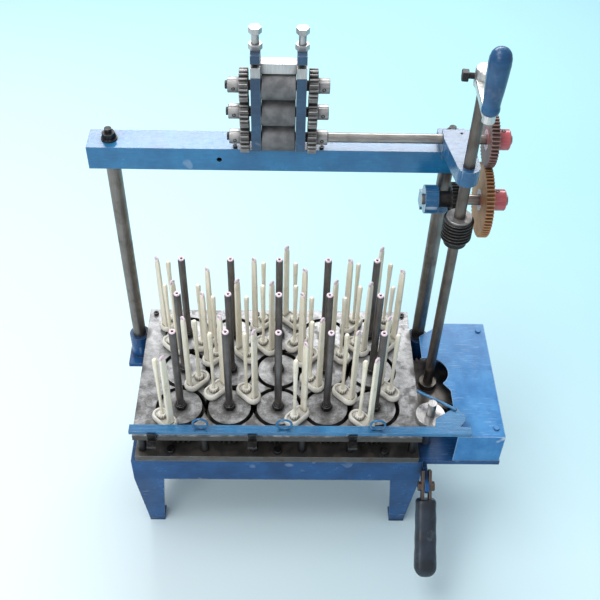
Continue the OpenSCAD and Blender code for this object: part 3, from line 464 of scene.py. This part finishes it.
def ivory(name, pale, yellowed, grain=(9, 9, 1)):
    """Yellowed cast resin: faint flow marks along the height, dirty thumb marks, and painted shade in the hollows.
    """
    resin = Finish(name)
    flow = resin.noise(0.02, 4, grain)
    cloud = resin.noise(0.025, 4)
    thumb = resin.step(resin.noise(0.018, 5, rough=0.65), 0.55, 0.75)
    # Occlusion mask: darkens the hollows as painted shade.
    hollow_shade = 1 - resin.step(resin.corner(0.014), 0.25, 0.85)
    shade = resin.mix(resin.step(flow * 0.6 + cloud * 0.4, 0.36, 0.66), pale, yellowed)
    shade = resin.mix(thumb * 0.35, shade, tint(0.3, 0.25, 0.17))
    shade = resin.mix(hollow_shade * 0.8, shade, tint(0.07, 0.058, 0.042))
    roughness = 0.38 + cloud * 0.14 + thumb * 0.1
    normal = resin.bumped(flow * 0.5 + cloud * 0.4, 0.0005, 0.8 * MM)
    return resin.done(shade, roughness, normal=normal)


def ceramic(name):
    """Glazed eye: pale pink, with the bore darkened to deep rose as painted shade, and a faint crackle."""
    glaze = Finish(name)
    cloud = glaze.noise(0.003, 3)
    # Occlusion mask: darkens the bore to deep rose as painted shade.
    hollow_shade = 1 - glaze.step(glaze.corner(0.004), 0.4, 0.95)
    shade = glaze.mix(cloud, tint(0.86, 0.72, 0.76), tint(0.8, 0.62, 0.7))
    shade = glaze.mix(hollow_shade * 0.8, shade, tint(0.3, 0.09, 0.2))
    return glaze.done(shade, 0.12 + cloud * 0.1, normal=glaze.bumped(cloud, 0.0001, 0.3 * MM), coat=0.5)


def knurled(name):
    """Dark knurled steel: polished peaks, dust that dulls the grooves, and painted shade in them."""
    metal = Finish(name)
    cloud = metal.noise(0.02, 4)
    # Occlusion mask: darkens the grooves as painted shade and makes them rougher and duller as dust.
    groove_dust_and_shade = 1 - metal.step(metal.corner(0.0025), 0.5, 0.95)
    shade = metal.mix(metal.step(cloud, 0.35, 0.65), tint(0.16, 0.163, 0.168), tint(0.27, 0.27, 0.275))
    shade = metal.mix(groove_dust_and_shade * 0.7, shade, tint(0.03, 0.027, 0.024))
    normal = metal.bumped(metal.noise(0.0015, 2), 0.00015, 0.3 * MM)
    return metal.done(shade, 0.48 + groove_dust_and_shade * 0.25 + cloud * 0.1, 0.75 - groove_dust_and_shade * 0.5, normal)


def moulded(name, deep, bright, roughness, speckle):
    """Moulded or dipped grip: soft colour change, rubbed patches and a fine skin."""
    grip = Finish(name)
    cloud = grip.noise(0.03, 4)
    pores = grip.noise(0.0016, 2)
    rubbed = grip.step(grip.noise(0.02, 5, rough=0.65), 0.55, 0.75)
    shade = grip.mix(grip.step(cloud, 0.35, 0.65), deep, bright)
    shade = grip.mix(rubbed * speckle, shade, tint(0.35, 0.4, 0.46))
    normal = grip.bumped(pores * 0.5 + cloud * 0.3, 0.0003, 0.8 * MM)
    return grip.done(shade, roughness + rubbed * 0.18 + cloud * 0.06, normal=normal, coat=0.15)


def pale_floor():
    """Matt studio floor, near white at the front left and pale cyan toward the back right."""
    cover = Finish("pale_floor")
    cloud = cover.noise(0.9, 3)
    away = cover.step(cover.axis("Y") + cover.axis("X") + cloud * 0.1, -1.2, 2.2)
    shade = cover.mix(away, tint(0.8, 0.9, 0.93), tint(0.46, 0.78, 0.86))
    return cover.done(shade, 0.75 + cloud * 0.1, specular=0.2)


# Stretch of a grain that runs up the piece, and of one that runs across it along X
UP_GRAIN, CROSS_GRAIN = (30, 30, 1), (1, 30, 30)

blue = enamel("blue_enamel", tint(0.01, 0.125, 0.29), tint(0.02, 0.2, 0.42), scuffing=0.25)
frame_blue = enamel("frame_enamel", tint(0.009, 0.052, 0.155), tint(0.016, 0.1, 0.28),
                    scuffing=0.2, gloss=0.35)
aged_blue = enamel("aged_blue_enamel", tint(0.01, 0.044, 0.1), tint(0.02, 0.082, 0.17), scuffing=0.3)
bracket_blue = enamel("bracket_enamel", tint(0.009, 0.075, 0.18), tint(0.018, 0.125, 0.28), scuffing=0.6)
cover_blue = enamel("cover_enamel", tint(0.03, 0.18, 0.44), tint(0.075, 0.29, 0.6), scuffing=1.0,
                    gloss=0.3, wear=3.5 * MM, strokes=(1.6, 1, 1), bared=tint(0.5, 0.66, 0.8))
red = enamel("red_enamel", tint(0.5, 0.085, 0.1), tint(0.64, 0.16, 0.17), scuffing=0.35)
deck = deck_steel("deck_steel", tint(0.47, 0.47, 0.475), edge_shade=0.75)
quoit = deck_steel("quoit_steel", tint(0.54, 0.54, 0.545), edge_shade=0.75)
plate_edge = steel("plate_steel", tint(0.18, 0.17, 0.16), 0.5, (40, 1, 40), stained=0.8)
tube_steel = steel("tube_steel", tint(0.2, 0.18, 0.175), 0.38, UP_GRAIN, stained=0.35)
post_steel = steel("post_steel", tint(0.26, 0.235, 0.215), 0.42, UP_GRAIN,
                   stain=tint(0.1, 0.06, 0.036), stained=0.5)
shaft_steel = steel("shaft_steel", tint(0.2, 0.17, 0.15), 0.42, UP_GRAIN,
                    stain=tint(0.1, 0.055, 0.03), stained=0.6)
black_steel = steel("black_steel", tint(0.055, 0.054, 0.056), 0.42, stained=0.3)
nut_steel = fastener_steel("nut_steel", bright_above=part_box("beam")[1].z + 0.1,
                           painted_beyond=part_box("track_plate")[1].x + 0.04)
gear_steel = steel("gear_steel", tint(0.45, 0.44, 0.435), 0.42, stained=0.4)
oily_gear = steel("oily_gear", tint(0.13, 0.12, 0.11), 0.35, stained=0.6)
bright_steel = steel("bright_steel", tint(0.62, 0.61, 0.605), 0.3, (40, 1, 1), stained=0.15)
axle_steel = steel("axle_steel", tint(0.44, 0.41, 0.385), 0.36, CROSS_GRAIN, stained=0.3)
arm_steel = steel("arm_steel", tint(0.8, 0.79, 0.77), 0.4, (1, 20, 1), stained=0.2)
strip_steel = steel("strip_steel", tint(0.16, 0.13, 0.115), 0.45, (30, 1, 1),
                    stain=tint(0.15, 0.07, 0.035), stained=0.6)
bronze = steel("gear_bronze", tint(0.7, 0.33, 0.13), 0.5, CROSS_GRAIN,
               stain=tint(0.36, 0.14, 0.055), stained=0.5, shine=0.5)
worn_red = steel("red_gear", tint(0.36, 0.2, 0.17), 0.5, CROSS_GRAIN,
                 stain=tint(0.34, 0.06, 0.05), stained=0.7, shine=0.5)
bar_ivory = ivory("bar_ivory", tint(0.94, 0.89, 0.77), tint(0.87, 0.79, 0.6))
foot_ivory = ivory("foot_ivory", tint(0.84, 0.82, 0.75), tint(0.74, 0.7, 0.61), grain=(3, 3, 3))
eye_glaze = ceramic("eye_glaze")
roller_grip = knurled("roller_knurl")
grip_blue = moulded("grip_blue", tint(0.006, 0.055, 0.15), tint(0.012, 0.095, 0.22),
                    roughness=0.28, speckle=0.14)
grip_dark = moulded("grip_dark", tint(0.007, 0.011, 0.018), tint(0.016, 0.028, 0.048),
                    roughness=0.42, speckle=0.12)


def dress_solids():
    """Gives each solid that stays in view its finish."""
    worn = {
        blue: ["beam", "stop_bar"],
        bracket_blue: ["bearing_brackets"],
        frame_blue: ["base_frame"],
        aged_blue: ["draw_off_cheeks"],
        cover_blue: ["side_cover"],
        deck: ["track_plate"],
        quoit: ["gear_posts"],
        plate_edge: ["base_plate"],
        black_steel: ["spacer_columns"],
        nut_steel: ["fasteners"],
        post_steel: ["posts"],
        shaft_steel: ["drive_shaft"],
        bright_steel: ["pressure_yoke", "screw_left", "screw_right", "stop_stud"],
        axle_steel: ["cross_shaft"],
        oily_gear: ["drive_gear"] + [f"horn_gear_{place}" for place in gear_at],
        strip_steel: ["hand_lever"],
    }
    for finish, names in worn.items():
        for name in names:
            nodes[name].data.materials.clear()
            nodes[name].data.materials.append(finish)


# Carriers: how far a guide bar stands ahead of its spindle

BAR_LEAD = 24 * MM


def foot_casting():
    """Boat-shaped foot: a stadium whose width follows the section of a bowl with a turned-in rim."""
    section = [(-9, 1), (-4, 1), (-1.2, 2.4), (0, 5.5), (0.2, 9), (-0.6, 12.6), (-2.2, 14.6), (-4, 15),
               (-5.6, 14.2), (-6.6, 12.4), (-9, 11.6), (-13, 11.4)]
    radius, half_length, middle = 15, 12, 6
    outlines = [stadium(radius + grow, half_length, middle) * MM for grow, _ in section]
    return lofted([(outline, height * MM) for outline, (_, height) in zip(outlines, section)])


def ratchet_crown():
    """Crown of saw teeth round the spindle: the radius falls evenly along each tooth and then jumps."""
    teeth, steps = 12, 6
    share = np.tile(np.arange(steps) / (steps - 1), teeth)
    angle = (np.repeat(np.arange(teeth), steps) + share * 0.98) * 2 * math.pi / teeth
    reach, height = np.array([(7.6, 10), (9.2, 14), (9.2, 19), (8.4, 20.5), (5, 20.8)]).T * MM
    drop = 1.8 * MM
    return skin(rings(reach[:, None] - drop * share, angle, height))


def spindle():
    """Slender spindle: thin above the crown, swelling toward a rounded head, with six shallow flutes."""
    angle = full_turn(36)
    flutes = 1 - 0.05 * (1 + np.cos(6 * angle))
    profile = [(3.4, 19), (2.9, 24), (3.0, 50), (3.4, 90), (4.1, 130), (4.7, 158), (4.9, 164), (4.6, 168),
               (3.4, 170.4), (1.2, 171)]
    radius, height = np.array(profile).T * MM
    return skin(rings(radius[:, None] * flutes, angle, height))


def guide_bar():
    """Flat guide bar: a soft-cornered rectangle that narrows a little toward its rounded top."""
    lead = np.array([BAR_LEAD, 0])
    sections = [(3.4, 7.4, 9), (3.4, 7.4, 15), (3.0, 6.5, 24), (2.9, 6.2, 120), (2.8, 5.7, 180),
                (2.7, 5.2, 187), (2.2, 4.2, 190), (1.2, 2.6, 191)]
    return lofted([(rounded(x * MM, y * MM) + lead, height * MM) for x, y, height in sections])


def carrier_parts(centre, place, turn):
    """Foot, crown, spindle, guide bar and eye of one carrier, heading the way its gear turns."""
    angle = math.radians(place)
    heading = angle + math.copysign(math.pi / 2, turn)
    x = (math.cos(heading), math.sin(heading), 0)
    y = (-math.sin(heading), math.cos(heading), 0)
    origin = centre + track_r * np.array([math.cos(angle), math.sin(angle), 0])
    pin_r, eye_z = 3.3 * MM, 193 * MM
    pin = turned([(pin_r, -20 * MM), (pin_r, 2 * MM)], 16)
    eye = placed(hoop(4 * MM, 1.9 * MM), (BAR_LEAD, 0, eye_z), (0, 0, -1), (0, 1, 0), (1, 0, 0))
    feet = [foot_casting(), ratchet_crown(), pin]
    groups = (feet, [spindle(), guide_bar()], [eye])
    return [[placed(part, origin, x, y) for part in group] for group in groups]


def build_carriers():
    """One piece for each horn gear that holds carriers, with a carrier at each of its compass points."""
    for place, compass in carrier_places.items():
        turn = ratios[f"horn_{place}_spin"]
        feet, bars, eyes = [], [], []
        for point in compass:
            parts = carrier_parts(gear_at[place], point, turn)
            feet += parts[0]
            bars += parts[1]
            eyes += parts[2]
        dressed = [(foot_ivory, feet), (bar_ivory, bars), (eye_glaze, eyes)]
        piece(f"carrier_set_{place}", f"horn_{place}", dressed, [f"carriers_{place}"])


# Warp tubes

def lock_nut(across, height):
    """Hexagon nut with chamfered corners: a hexagon cut off by a cone at both ends."""
    angle = full_turn(72)
    sector = np.mod(angle, math.pi / 3) - math.pi / 6
    hexagon = across / 2 * math.cos(math.pi / 6) / np.cos(sector)
    limit, level = np.array([(0.88, 0), (1.0, 0.12), (1.0, 0.88), (0.88, 1)]).T
    radius = np.minimum(hexagon, across / 2 * limit[:, None])
    return skin(rings(radius, angle, height * level))


def build_warp_tubes():
    """On every gear post a turned tube with a collar, a lock nut and a ceramic eye."""
    height, radius, bore = 206 * MM, 6.75 * MM, 2 * MM
    collar_r, collar_low, collar_high, chamfer = 9 * MM, 9 * MM, 13.4 * MM, 0.8 * MM
    tube = turned([(bore, 0), (radius, 0), (radius, height - 2 * MM), (radius - 1.4 * MM, height),
                   (bore, height)], 32, ring=True)
    collar = turned([(radius, collar_low), (collar_r, collar_low), (collar_r, collar_high - chamfer),
                     (collar_r - chamfer, collar_high), (radius, collar_high)], 32, ring=True)
    nut = lock_nut(22 * MM, 10 * MM)
    eye = placed(hoop(4 * MM, 2 * MM), (0, 0, height + 1.4 * MM))
    tubes = [placed(tube, centre) for centre in gear_at.values()]
    nuts = [placed(part, centre) for centre in gear_at.values() for part in (collar, nut)]
    eyes = [placed(eye, centre) for centre in gear_at.values()]
    dressed = [(tube_steel, tubes), (black_steel, nuts), (eye_glaze, eyes)]
    piece("warp_tube_set", "machine", dressed, ["warp_tubes"])


# Draw-off rollers and wheels

def knurled_barrel(radius, length):
    """Roller barrel: two sets of crossing helical grooves cut into a cylinder with soft ends."""
    rounds, sides, rows = 84, 504, 150
    depth, end = 0.28 * MM, 1.2 * MM
    angle = full_turn(sides)
    along = np.linspace(0, length, rows)
    turn = rounds / 2 * angle
    wind = along[:, None] * rounds / 2 / radius
    crossing = np.minimum(np.abs(np.sin(turn + wind)), np.abs(np.sin(turn - wind)))
    fade = np.clip(np.minimum(along, length - along) / end, 0, 1)[:, None]
    reach = radius - end * (1 - fade) ** 2 - depth * fade * (1 - np.minimum(1, 2.2 * crossing))
    return skin(rings(reach, angle, along))


def build_rollers():
    """Three rollers, each a knurled barrel on a plain journal with a bolt end on its left."""
    barrel_length = 53 * MM
    journal_r, chamfer = 8 * MM, 1 * MM
    bolt_reach = 4 * MM
    cheek_low, cheek_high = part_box("draw_off_cheeks")
    middle_x = (cheek_low.x + cheek_high.x) / 2
    for level in ("bottom", "middle", "top"):
        body = f"{level}_roller"
        low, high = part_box(f"roller_{level}")
        axis = pivots[f"{body}_spin"]
        length = high.x - low.x
        barrel = placed(knurled_barrel((high.y - low.y) / 2, barrel_length),
                        (middle_x - barrel_length / 2, axis[1], axis[2]), **ALONG_X)
        journal = turned([(journal_r - chamfer, 0), (journal_r, chamfer), (journal_r, length - chamfer),
                          (journal_r - chamfer, length)], 40)
        journal = placed(journal, (low.x, axis[1], axis[2]), **ALONG_X)
        bolt = placed(lock_nut(13 * MM, 5 * MM), (low.x - bolt_reach, axis[1], axis[2]), **ALONG_X)
        dressed = [(roller_grip, [barrel]), (axle_steel, [journal]), (black_steel, [bolt])]
        piece(f"knurled_roller_{level}", body, dressed, [f"roller_{level}"])


def hubbed_section(bore_r, hub_r, tip_r, width, hub_w, chamfer, web=0.0, rim_r=0.0):
    """Closed section of a wheel with a hub on one side, chamfered tips and, if asked for, a turned web."""
    section = [(bore_r, 0), (tip_r - chamfer, 0), (tip_r, chamfer), (tip_r, width - chamfer),
               (tip_r - chamfer, width)]
    if web:
        section += [(rim_r, width), (rim_r - web, width - web), (hub_r + web, width - web)]
    section += [(hub_r, width), (hub_r, width + hub_w - chamfer), (hub_r - chamfer, width + hub_w),
                (bore_r, width + hub_w)]
    return section


# Share of a hub's radius at which a set screw is seated
SEATED = 0.97


def set_screw(radius):
    """Socket set screw: a short cylinder with a dished end."""
    return turned([(radius, -2 * radius), (radius, 0.2 * radius), (0.8 * radius, 0.35 * radius),
                   (0.5 * radius, 0.3 * radius), (0.45 * radius, -0.5 * radius)], 20)


def build_pinions():
    """Three pairs of pinions with their hubs outward. The middle pair is turned half a tooth to mesh."""
    teeth, width, hub_w = 19, 14 * MM, 18 * MM
    module = 2.5 * MM
    tip_r = module * (teeth / 2 + TOOTH_TIP)
    bore_r, hub_r = 8 * MM, 12 * MM
    half_step = 180 / teeth
    section = hubbed_section(bore_r, hub_r, tip_r, width, hub_w, 0.7 * MM)
    for level, first in (("bottom", 90), ("middle", 270 + half_step), ("top", 90)):
        body = f"{level}_roller"
        axis = pivots[f"{body}_spin"]
        low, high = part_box(f"pinions_{level}")
        right_at = (high.x - width - hub_w, axis[1], axis[2])
        left_at = (low.x + width + hub_w, axis[1], axis[2])
        right = placed(wheel(module, teeth, first, section), right_at, **ALONG_X)
        left = placed(wheel(module, teeth, 180 - first, section), left_at, **BACK_ALONG_X)
        screw_y = axis[1] - hub_r * SEATED
        screws = [placed(set_screw(3 * MM), (x, screw_y, axis[2]), (1, 0, 0), (0, 0, 1), (0, -1, 0))
                  for x in (low.x + hub_w / 2, high.x - hub_w / 2)]
        dressed = [(gear_steel, [left, right]), (black_steel, screws)]
        piece(f"pinion_pair_{level}", body, dressed, [f"pinions_{level}"])


def build_change_gears():
    """Two toothed rims with a turned web, on red hubs. The upper one is turned half a tooth to mesh."""
    module, width = 2 * MM, 13 * MM
    lower_teeth, upper_teeth = 61, 43
    chamfer, hub_chamfer, web, rim_t = 0.5 * MM, 1.5 * MM, 2.5 * MM, 5 * MM
    cross, draw = pivots["cross_spin"], pivots["bottom_roller_spin"]
    toward = math.degrees(math.atan2(draw[2] - cross[2], draw[1] - cross[1]))
    meshing = toward + 180 + 180 / upper_teeth
    wheels = (
        ("lower", "cross", cross, lower_teeth, toward, 9 * MM, 18 * MM, bronze, "bronze"),
        ("upper", "bottom_roller", draw, upper_teeth, meshing, 8 * MM, 17 * MM, worn_red, "red_paint"),
    )
    for level, body, axis, teeth, first, bore_r, hub_r, rim_finish, slot in wheels:
        low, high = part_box(f"change_gear_{level}")
        hub_w = high.x - low.x - width
        tip_r = module * (teeth / 2 + TOOTH_TIP)
        rim_r = module * (teeth / 2 - TOOTH_ROOT) - rim_t
        rim = [(hub_r, 0), (tip_r - chamfer, 0), (tip_r, chamfer), (tip_r, width - chamfer),
               (tip_r - chamfer, width), (rim_r, width), (rim_r - 2 * MM, width - web), (hub_r, width - web)]
        end = width + hub_w
        hub = turned([(bore_r, 0), (hub_r, 0), (hub_r, end - hub_chamfer), (hub_r - hub_chamfer, end),
                      (bore_r, end)], 48, ring=True)
        origin = (low.x, axis[1], axis[2])
        screw = placed(set_screw(3.5 * MM), (high.x - hub_w / 2, axis[1], axis[2] + hub_r * SEATED))
        dressed = [
            (rim_finish, [placed(wheel(module, teeth, first, rim), origin, **ALONG_X)]),
            (red, [placed(hub, origin, **ALONG_X)]),
            (black_steel, [screw]),
        ]
        piece(f"change_wheel_{level}", body, dressed, [f"change_gear_{level}"])


def build_worm():
    """Worm: radius that follows a rounded thread as the angle winds up the axis, above a plain sleeve,
    with a bright washer on top."""
    low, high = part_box("worm")
    shaft_low, shaft_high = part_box("drive_shaft")
    axis = pivots["drive_spin"]
    tip_r = (high.x - low.x) / 2
    bore_r = (shaft_high.x - shaft_low.x) / 2
    depth, sleeve, washer = 4 * MM, 9 * MM, 3 * MM
    length = high.z - low.z - washer
    sides, rows = 72, 200
    lead = 2 * math.pi * MM
    angle = full_turn(sides)
    along = np.linspace(0, length, rows)
    phase = np.mod(along[:, None] / lead - angle / (2 * math.pi), 1)
    thread = np.clip(1.5 - np.abs(phase - 0.5) * 5, 0, 1)
    inside = np.clip(np.minimum(along - sleeve, length - along) / (0.3 * lead), 0, 1)[:, None]
    plain = tip_r - depth - 2 * MM * (along < sleeve)[:, None]
    reach = plain + depth * thread * inside
    bore = np.full((1, sides), bore_r)
    worm = skin(rings(np.vstack([bore, reach, bore]), angle, [0, *along, length]), ring=True)
    cap_r, chamfer = tip_r - depth, 0.6 * MM
    cap = turned([(bore_r, 0), (cap_r, 0), (cap_r, washer - chamfer), (cap_r - chamfer, washer),
                  (bore_r, washer)], sides, ring=True)
    dressed = [
        (black_steel, [placed(worm, (axis[0], axis[1], low.z))]),
        (gear_steel, [placed(cap, (axis[0], axis[1], high.z - washer))]),
    ]
    piece("threaded_worm", "drive", dressed, ["worm"])


def build_worm_wheel():
    """Worm wheel: a toothed wheel with a hub and a turned web, facing left."""
    teeth, width = 28, 16 * MM
    low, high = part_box("worm_wheel")
    axis = pivots["cross_spin"]
    tip_r = (high.y - low.y) / 2
    module = tip_r / (teeth / 2 + TOOTH_TIP)
    bore_r, hub_r = 9 * MM, 14 * MM
    hub_w = high.x - low.x - width
    section = hubbed_section(bore_r, hub_r, tip_r, width, hub_w, 0.6 * MM, 2 * MM, tip_r - 8 * MM)
    made = placed(wheel(module, teeth, 180, section), (high.x, axis[1], axis[2]), **BACK_ALONG_X)
    # The wheel's black finish also stands for the shade its left face lies in: in part painted shade.
    piece("toothed_worm_wheel", "cross", [(black_steel, [made])], ["worm_wheel"])


# Crank and lever

def build_crank():
    """Forged crank: a turned hub and eye joined by an arm whose soft-cornered section narrows outward."""
    shaft, grip = pivots["drive_spin"], pivots["grip_spin"]
    shaft_low, shaft_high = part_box("drive_shaft")
    low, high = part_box("crank_arm")
    hub_r = (shaft_high.x - shaft_low.x) / 2 + 8 * MM
    eye_r, pin_r, arm_t, hub_h = 9 * MM, 5 * MM, 14 * MM, 30 * MM
    gap, chamfer = 0.3 * MM, 1 * MM
    hub_z = low.z
    arm_z = grip[2] - gap - arm_t
    reach = math.hypot(*(grip - shaft)[:2])
    out = np.array([*(grip - shaft)[:2] / reach, 0])
    side = np.array([-out[1], out[0], 0])
    up = (0, 0, 1)
    hub_profile = [(hub_r - 3 * MM, 0), (hub_r, 1.5 * MM), (hub_r, hub_h - 3 * MM),
                   (hub_r - 1.2 * MM, hub_h - 1 * MM), (hub_r - 4 * MM, hub_h)]
    eye_profile = [(eye_r - chamfer, 0), (eye_r, chamfer), (eye_r, arm_t - chamfer), (eye_r - chamfer, arm_t)]
    hub = placed(turned(hub_profile, 48), (shaft[0], shaft[1], hub_z))
    eye = placed(turned(eye_profile, 40), (grip[0], grip[1], arm_z))
    pin = placed(turned([(pin_r, 0), (pin_r, arm_t + high.z - grip[2])], 24), (grip[0], grip[1], arm_z))
    share = np.linspace(0, 1, 9)
    half_widths = (hub_r + (eye_r - chamfer - hub_r) * share) * 0.97
    half_t = arm_t / 2 * 0.98
    sections = [(rounded(half, half_t, squareness=6), reach * s) for half, s in zip(half_widths, share)]
    arm = placed(lofted(sections), (shaft[0], shaft[1], arm_z + arm_t / 2), -side, up, out)
    screw_at = np.array([shaft[0], shaft[1], hub_z + hub_h / 2])
    shank_at = screw_at - side * (hub_r - 3 * MM)
    head_at = screw_at - side * (hub_r + 8 * MM)
    shank = placed(turned([(4.5 * MM, 0), (4.5 * MM, 14 * MM)], 24), shank_at, out, up, -side)
    head_sections = [(6.4 * MM, 9, 0), (7 * MM, 9, 0.8 * MM), (7 * MM, 9, 9 * MM), (6 * MM, 6, 10 * MM)]
    square = [(rounded(half, half, power), level) for half, power, level in head_sections]
    head = placed(lofted(square), head_at, out, up, -side)
    dressed = [(arm_steel, [hub, eye, pin, arm]), (black_steel, [shank, head])]
    piece("forged_crank", "drive", dressed, ["crank_arm"])


def build_crank_grip():
    """Pear-shaped grip: a smooth profile, thick near its round top, narrow near its foot, rounded below."""
    low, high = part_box("crank_grip")
    axis = pivots["grip_spin"]
    thick, length = (high.x - low.x) / 2, high.z - low.z
    bore = 5.05 * MM
    foot = [(0.7, 0), (0.79, 0.02), (0.83, 0.05), (0.82, 0.09), (0.77, 0.13)]
    palm = [(0.8, 0.22), (0.87, 0.35), (0.93, 0.5), (0.97, 0.65), (1.0, 0.76)]
    crown = [(0.97, 0.85), (0.84, 0.92), (0.62, 0.965), (0.34, 0.99), (0.05, 1.0)]
    outer = np.array([(bore / thick, 0), *foot, *palm, *crown]) * (thick, length)
    finer = np.linspace(0, len(outer) - 1, 4 * len(outer))
    smooth = np.stack([np.interp(finer, np.arange(len(outer)), column) for column in outer.T], -1)
    made = placed(turned(smooth, 56), (axis[0], axis[1], low.z))
    piece("pear_grip", "grip", [(grip_blue, [made])], ["crank_grip"], crease=50)


def build_lever_grip():
    """Moulded lever grip: a flat oval section that swells toward a round end, with shallow finger waves."""
    pivot = pivots["lever_swing"]
    tilt = math.radians(45)
    down = np.array([0, -math.cos(tilt), -math.sin(tilt)])
    across = np.array([0, -math.sin(tilt), math.cos(tilt)])
    start, end, neck, thick = 24 * MM, 170 * MM, 19 * MM, 21 * MM
    along = np.linspace(0, 1, 60)
    swell = neck + (thick - neck) * along
    waves = 1 - 0.015 * (1 - np.cos(along * 8 * math.pi)) * (along < 0.75)
    tail = np.clip((along - (1 - thick / (end - start))) * (end - start) / thick, 0, 1)
    head = np.clip(1 - along / 0.04, 0, 1)
    reach = swell * waves * np.sqrt(np.maximum(1 - tail ** 2, 0.002)) * (1 - 0.15 * head ** 2)
    sections = [(rounded(r, r * 0.78, 3.2, 40), start + (end - start) * s) for r, s in zip(reach, along)]
    made = placed(lofted(sections), pivot, (1, 0, 0), across, down)
    piece("moulded_lever_grip", "lever", [(grip_dark, [made])], ["lever_grip"], crease=60)


# Studio

def area_light(name, place, target, size, power, colour=(1, 1, 1)):
    """Soft rectangular lamp at a place, aimed at a target."""
    lamp = bpy.data.lights.new(name, "AREA")
    lamp.shape = "RECTANGLE"
    lamp.size, lamp.size_y = size
    lamp.energy = power
    lamp.color = colour
    made = bpy.data.objects.new(name, lamp)
    made.location = place
    made.rotation_euler = (Vector(target) - Vector(place)).to_track_quat("-Z", "Y").to_euler()
    bpy.context.scene.collection.objects.link(made)


def build_studio():
    """Pale floor, a bright panel behind that the beam mirrors, a broad one that the deck mirrors, a soft top
    light and a front fill."""
    half = 8.0
    corners = [(-half, -half, 0), (half, -half, 0), (half, half, 0), (-half, half, 0)]
    mesh = bpy.data.meshes.new("studio_floor")
    mesh.from_pydata(corners, [], [(0, 1, 2, 3)])
    mesh.materials.append(pale_floor())
    floor = bpy.data.objects.new("studio_floor", mesh)
    bpy.context.scene.collection.objects.link(floor)
    world = bpy.data.worlds.new("studio_sky")
    world.use_nodes = True
    world.node_tree.nodes["Background"].inputs["Color"].default_value = tint(0.86, 0.93, 1.0)
    world.node_tree.nodes["Background"].inputs["Strength"].default_value = 0.5
    bpy.context.scene.world = world
    bpy.context.scene.view_settings.view_transform = "Standard"
    middle = (0, 0.1, 0.5)
    area_light("back_panel", (0.1, 2.5, 2.47), middle, (2.6, 0.7), 58)
    area_light("sky_panel", (0, 2.4, 3.35), middle, (3.0, 1.4), 13)
    area_light("top_panel", (-0.9, -0.2, 2.9), middle, (1.6, 1.6), 34)
    area_light("front_fill", (-1.4, -2.4, 2.2), middle, (1.6, 1.6), 30)


def build_camera():
    """Camera at the photograph's place, measured from the middle of the two posts: it looks down, swung a
    little to the right and rolled."""
    low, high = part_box("posts")
    lens = 54.06
    place = ((low.x + high.x) / 2 + 0.0064, (low.y + high.y) / 2 - 1.2229, 1.6427)
    down, swing, roll = (math.radians(angle) for angle in (45.814, 1.589, 1.746))
    forward = Vector((math.sin(swing) * math.cos(down), math.cos(swing) * math.cos(down), -math.sin(down)))
    level = Vector((math.cos(swing), -math.sin(swing), 0))
    upright = level.cross(forward)
    right = math.cos(roll) * level + math.sin(roll) * upright
    up = math.cos(roll) * upright - math.sin(roll) * level
    camera = bpy.data.objects.new("camera", bpy.data.cameras.new("camera"))
    camera.data.lens = lens
    camera.data.sensor_width = 36
    camera.matrix_world = Matrix.Translation(place) @ Matrix((right, up, -forward)).transposed().to_4x4()
    bpy.context.scene.collection.objects.link(camera)
    bpy.context.scene.camera = camera


build_camera()
build_studio()
dress_solids()
build_carriers()
build_warp_tubes()
build_rollers()
build_pinions()
build_change_gears()
build_worm()
build_worm_wheel()
build_crank()
build_crank_grip()
build_lever_grip()
